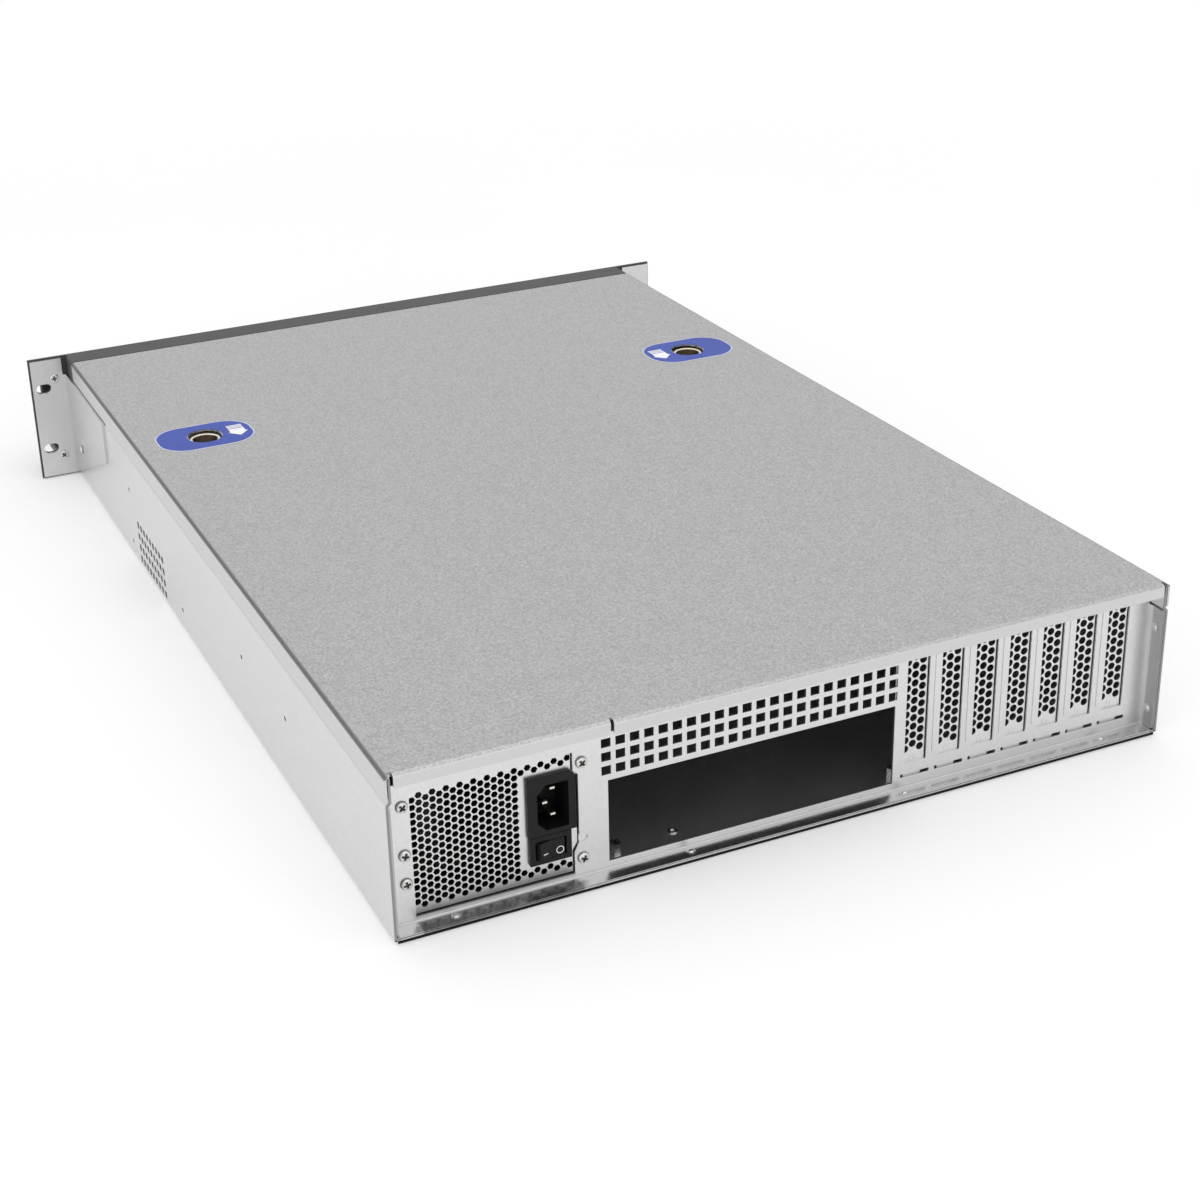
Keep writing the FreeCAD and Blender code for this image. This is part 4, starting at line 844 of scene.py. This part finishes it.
rivet = turned([(0, 1.2), (0.6, 1.17), (1.1, 1.02), (1.5, 0.74), (1.66, 0.4), (1.7, 0.22), (2.1, 0.2),
                (2.4, 0.1), (2.4, -0.02), (0, -0.02)], (0, 0, 0), 32)
rivet_heads = []
for low, high in seats("wall_rivets"):
    middle, size = (low + high) / 2, high - low
    if size[2] < size[0]:
        rivet_heads.append(placed(rivet, (middle[0], middle[1], low[2]), FLAT))
    else:
        out = -1 if middle[0] > 0 else 1
        seat = high[0] if out < 0 else low[0]
        rivet_heads.append(placed(rivet, (seat, middle[1], middle[2]), SIDE, out))
new_piece("rivet_heads", *together(rivet_heads), screw_steel, "chassis", "screw_steel", ["wall_rivets"], 50)

# %% [markdown]
# ## The inlet's blades and the boss on the base
#
# The three blades in the inlet have tapered tips, so that the plug finds them, and only the small tip
# catches the light. A blade is four rings of one rounded rectangle: two full ones, one where the taper
# starts and a small one at the tip. Inside the board window a low ring is pressed up out of the base.

# %% Blades and boss
blades, taper = [], 1.4
for low, high in seats("inlet_pins"):
    width, _, thick = high - low
    section = rounded_rectangle(width, thick, 0.3, 4)
    narrow = section * ((width - 1.5) / width, (thick - 0.9) / thick)
    rings = [(section * 0, low[1]), (section, low[1]), (section, high[1] - taper), (narrow, high[1]),
             (narrow * 0, high[1])]
    loops = [np.stack([ring[:, 0], np.full(len(ring), y), ring[:, 1]], axis=-1) for ring, y in rings]
    middle = (low + high) / 2 * (1, 0, 1)
    blades.append((np.array(loops) + middle, grid_faces(len(loops), len(section))))
new_piece("inlet_blades", *together(blades), pin_metal, "chassis", "pin_metal", ["inlet_pins"], 25)

boss_profile = [(1.2, 0), (1.2, 0.55), (1.45, 0.7), (2.3, 0.7), (2.6, 0.5), (2.6, 0), (1.2, 0)]
boss_place = (58.5, 316.3, 1.2)
new_piece("base_boss", *turned(boss_profile, boss_place, 40), screw_steel, "chassis", "tray_steel")

# %% [markdown]
# ## The switch's marks
#
# The rocker shows a short bar for on and a ring for off. They are printed, so they are thin skins that lie
# on the rocker's two faces. One face is level with the bezel and the other is raised by the rocker's tilt,
# and the marks' depth follows from that tilt.

# %% Rocker marks
rocker_low, rocker_high = box_mm("switch_rocker")
centre_x, _, centre_z = (rocker_low + rocker_high) / 2
face_y, tilt = switch_high[1], math.tan(math.radians(14.0))
print_low, print_high, ring_right, ring_up, dash_right, dash_up = -0.02, 0.04, -4.5, -1.8, 3.2, -1.9
mark_white = moulded("mark_white", 226, 0.4, 0.5, 0.01)[0]
ring_middle = np.array([centre_x + ring_right, centre_z + ring_up])
ring = pierced(ring_middle + polygon(2.0, 40), [ring_middle + polygon(1.6, 40)], face_y + print_low,
               face_y + print_high, REAR)
dash, dash_faces = slab(-1.2, 1.2, -0.25, 0.25, print_low, print_high)
dash_x = centre_x + dash_right + dash[:, 0]
dash_y = face_y + (dash_x - centre_x) * tilt + dash[:, 2]
dash = np.stack([dash_x, dash_y, centre_z + dash_up + dash[:, 1]], axis=-1)
new_piece("rocker_marks", *together([ring, (dash, dash_faces)]), mark_white, "rocker", "socket_plastic")

# %% [markdown]
# ## The handles
#
# Each handle is a flat bar bent to a U. A rounded rectangle is carried along the bar's middle line, which
# runs out, turns through a quarter circle, runs up and turns back. At each point the section is laid across
# the line's direction, so the bends come out smooth where the CAD solid has a few flats.

# %% Handles
def bent_line(start_y, front_y, low_z, high_z, radius, steps=14):
    """Middle line of a U in the YZ plane: two straight legs and a straight grip joined by quarter circles."""
    angle = np.linspace(0, math.pi / 2, steps)
    along, up = radius - radius * np.sin(angle), radius - radius * np.cos(angle)
    lower = np.stack([front_y + along, low_z + up], axis=-1)
    upper = np.stack([front_y + up, high_z - along], axis=-1)
    return np.concatenate([[[start_y, low_z]], lower, upper, [[start_y, high_z]]])


def carried(line, section):
    """A closed section carried along a line in the YZ plane, with its first axis along X and closed ends."""
    ahead = np.gradient(line, axis=0)
    ahead[0], ahead[-1] = line[1] - line[0], line[-1] - line[-2]
    ahead /= np.linalg.norm(ahead, axis=1, keepdims=True)
    side = np.stack([-ahead[:, 1], ahead[:, 0]], axis=-1)
    yz = line[:, None, :] + side[:, None, :] * section[None, :, 1:]
    x = np.repeat(section[None, :, :1], len(line), axis=0)
    points = np.concatenate([x, yz], axis=-1)
    count = len(section)
    faces = [list(f) for f in grid_faces(len(line), count)]
    faces.append(list(range(count)))
    faces.append([len(line) * count - 1 - k for k in range(count)])
    return points, faces


bar, bend = 6.0, 9.0
for side in ("left", "right"):
    low, high = box_mm(f"handle_{side}")
    line = bent_line(high[1], low[1] + bar / 2, low[2] + bar / 2, high[2] - bar / 2, bend)
    points, faces = carried(line, rounded_rectangle(high[0] - low[0], bar, 1.2))
    points = points + ((low[0] + high[0]) / 2, 0, 0)
    new_piece(f"grip_{side}", points, faces, handle_paint, "chassis", "handle_metal", [f"handle_{side}"])

# %% [markdown]
# ## Softer edges on the moulded pieces
#
# No moulded or punched edge is razor sharp, and a thin bright line along an edge tells the eye so. The
# CAD meshes are loose triangles, so a Weld joins them, a planar Decimate turns the triangles of a flat side
# into one face, and a Bevel then rounds only the real edges. All three are live modifiers on the CAD piece.

# %% Edge rounding
def soften(node, width):
    """Weld, flat dissolve and a bevel of width millimetres on a CAD piece, without touching its mesh."""
    piece = nodes[node]
    piece.modifiers.new("weld", "WELD").merge_threshold = 1e-6
    flat = piece.modifiers.new("flat", "DECIMATE")
    flat.decimate_type = "DISSOLVE"
    flat.angle_limit = math.radians(1)
    edge = piece.modifiers.new("edge", "BEVEL")
    edge.width = width * MM
    edge.segments = 2
    edge.limit_method = "ANGLE"
    edge.angle_limit = math.radians(40)


edges = {"inlet_socket": 0.35, "switch_frame": 0.3, "bay_cover_lower": 0.5, "bay_cover_upper": 0.5,
         "fan_frame_1": 0.5, "fan_frame_2": 0.5, "fan_frame_3": 0.5, "psu_fan_frame": 0.5,
         "power_button": 0.4, "reset_button": 0.3}
for node, width in edges.items():
    soften(node, width)
print("softened", len(edges), "pieces")

# %% [markdown]
# ## Finishes for the pieces that keep their CAD shape
#
# What is left keeps its CAD mesh and only needs its finish. The table names the finish for each node.

# %% Hand out the finishes
lamp_finish = moulded("lamp", 150, 0.25, 1.0, 0.01)[0]
finishes = {
    "chassis_tray": tray_steel, "rear_wall": wall_steel, "top_cover": cover_steel, "cross_bar": tray_steel,
    "psu_lid": psu_steel, "psu_board": psu_board_finish, "inlet_socket": socket_plastic,
    "switch_frame": socket_plastic, "switch_rocker": socket_plastic, "fan_wall": tray_steel,
    "motherboard_posts": screw_steel, "front_panel": panel_paint, "drive_cage": tray_steel,
    "bay_cover_lower": panel_paint, "bay_cover_upper": panel_paint, "power_button": key_plastic,
    "reset_button": key_plastic, "control_board": control_board_finish, "usb_sockets": shell_metal,
    "status_lamps": lamp_finish, "psu_fan_frame": fan_plastic, "psu_fan_rotor": fan_plastic,
    "latch_seat_left": tray_steel, "latch_seat_right": tray_steel, "ear_left": ear_steel,
    "ear_right": ear_steel,
}
for k in (1, 2, 3):
    finishes[f"fan_frame_{k}"] = fan_plastic
    finishes[f"fan_rotor_{k}"] = fan_plastic
for node, finish in finishes.items():
    nodes[node].data.materials.clear()
    nodes[node].data.materials.append(finish)
bare = sorted(n for n, o in nodes.items() if not o.hide_render and n not in finishes)
print("finished", len(finishes), "nodes; without a finish:", bare)

# %% [markdown]
# ## Floor and light
#
# The case stands on a pale floor in an even white studio. The world is white for the camera and nearly so
# for reflections, a little dimmer towards the horizon, and gives less light to matt surfaces. Near the case
# the floor takes light and shadow. Far from it the floor fades into plain white, so no horizon shows.

# %% World
world = bpy.data.worlds.new("studio")
bpy.context.scene.world = world
world.use_nodes = True
sky = Flow(world.node_tree)
path = sky.node("ShaderNodeLightPath")
upward = coordinates(sky.node("ShaderNodeTexCoord")["Generated"])["Z"]
matt_light = 0.82
seen_in_metal = matt_light + upward.above(0.1, 0.6) * 0.34
mirrored = path["Is Glossy Ray"].at_least(path["Is Transmission Ray"]) * seen_in_metal
backdrop = world.node_tree.nodes["Background"].inputs
backdrop["Color"].default_value = (1, 1, 1, 1)
link(path["Is Camera Ray"].at_least(mirrored).at_least(matt_light), backdrop["Strength"])

# %% Floor
floor_finish, place, shader = new_finish("floor", Roughness=0.9, Metallic=0.0)
link(noise(place, 400.0, 2.0).mixed(grey(244), grey(249)), shader["Base Color"])
shader["Emission Color"].default_value = (1, 1, 1, 1)
shader["Emission Strength"].default_value = 0.15
radius = place.node("ShaderNodeVectorMath", {"operation": "LENGTH"}, {0: place})["Value"]
plain = place.node("ShaderNodeEmission", None, {"Strength": 1.0})["Emission"]
lit = Flow(place.tree, place.tree.nodes["Principled BSDF"].outputs["BSDF"])
faded = place.node("ShaderNodeMixShader", None, {0: radius.above(0.55, 0.8), 1: lit, 2: plain})["Shader"]
link(faded, place.tree.nodes["Material Output"].inputs["Surface"])
floor_half, floor_z = 8.0, -0.0005
mesh = bpy.data.meshes.new("floor")
square = rectangle(-floor_half, floor_half, -floor_half, floor_half)
mesh.from_pydata([(u, v, floor_z) for u, v in square.tolist()], [], [(0, 1, 2, 3)])
mesh.materials.append(floor_finish)
ground = bpy.data.objects.new("floor", mesh)
bpy.context.scene.collection.objects.link(ground)


# %% Lamps
def soft_lamp(name, place, target, width, height, watts):
    """A rectangular lamp that faces a target."""
    light = bpy.data.lights.new(name, "AREA")
    light.shape = "RECTANGLE"
    light.size, light.size_y, light.energy = width, height, watts
    lamp = bpy.data.objects.new(name, light)
    lamp.location = place
    lamp.rotation_euler = (Vector(target) - Vector(place)).to_track_quat("-Z", "Y").to_euler()
    bpy.context.scene.collection.objects.link(lamp)


soft_lamp("side_lamp", (2.4, 1.0, 1.1), (0.2, 0.1, 0.05), 2.4, 1.6, 9)
soft_lamp("rear_lamp", (-0.3, 2.8, 1.1), (0.0, 0.3, 0.05), 2.4, 1.6, 7)
soft_lamp("top_lamp", (-0.2, 0.7, 2.4), (0.0, 0.3, 0.0), 2.0, 2.0, 6)
print("lamps: 3")

# %% [markdown]
# ## The camera
#
# The case is seen from behind and above with a longer lens. Its place and lens came from fitting the known
# sizes of the case to the picture: with the position, the direction and a slight roll, the edges fall where
# they should. The lens shift stands for the small crop of the frame.

# %% Camera
eye_place = Vector((0.46328, 1.1068, 0.55545))
azimuth, elevation, roll = math.radians(156.8), math.radians(23.99), math.radians(-1.94)
level = math.cos(elevation)
back = Vector((math.sin(azimuth) * level, -math.cos(azimuth) * level, math.sin(elevation)))
right_hand = (-back).cross(Vector((0, 0, 1))).normalized()
upward = right_hand.cross(-back)
turned_right = math.cos(roll) * right_hand + math.sin(roll) * upward
turned_up = -math.sin(roll) * right_hand + math.cos(roll) * upward
camera_data = bpy.data.cameras.new("camera")
camera_data.lens = 62.775
camera_data.sensor_width = 36.0
camera_data.shift_x, camera_data.shift_y = 0.05, -0.05
camera_data.clip_start, camera_data.clip_end = 0.05, 50
camera = bpy.data.objects.new("camera", camera_data)
camera.matrix_world = Matrix((
    (turned_right.x, turned_up.x, back.x, eye_place.x),
    (turned_right.y, turned_up.y, back.y, eye_place.y),
    (turned_right.z, turned_up.z, back.z, eye_place.z),
    (0, 0, 0, 1),
))
bpy.context.scene.collection.objects.link(camera)
bpy.context.scene.camera = camera
bpy.context.scene.view_settings.view_transform = "Standard"
print("camera at", short(eye_place))
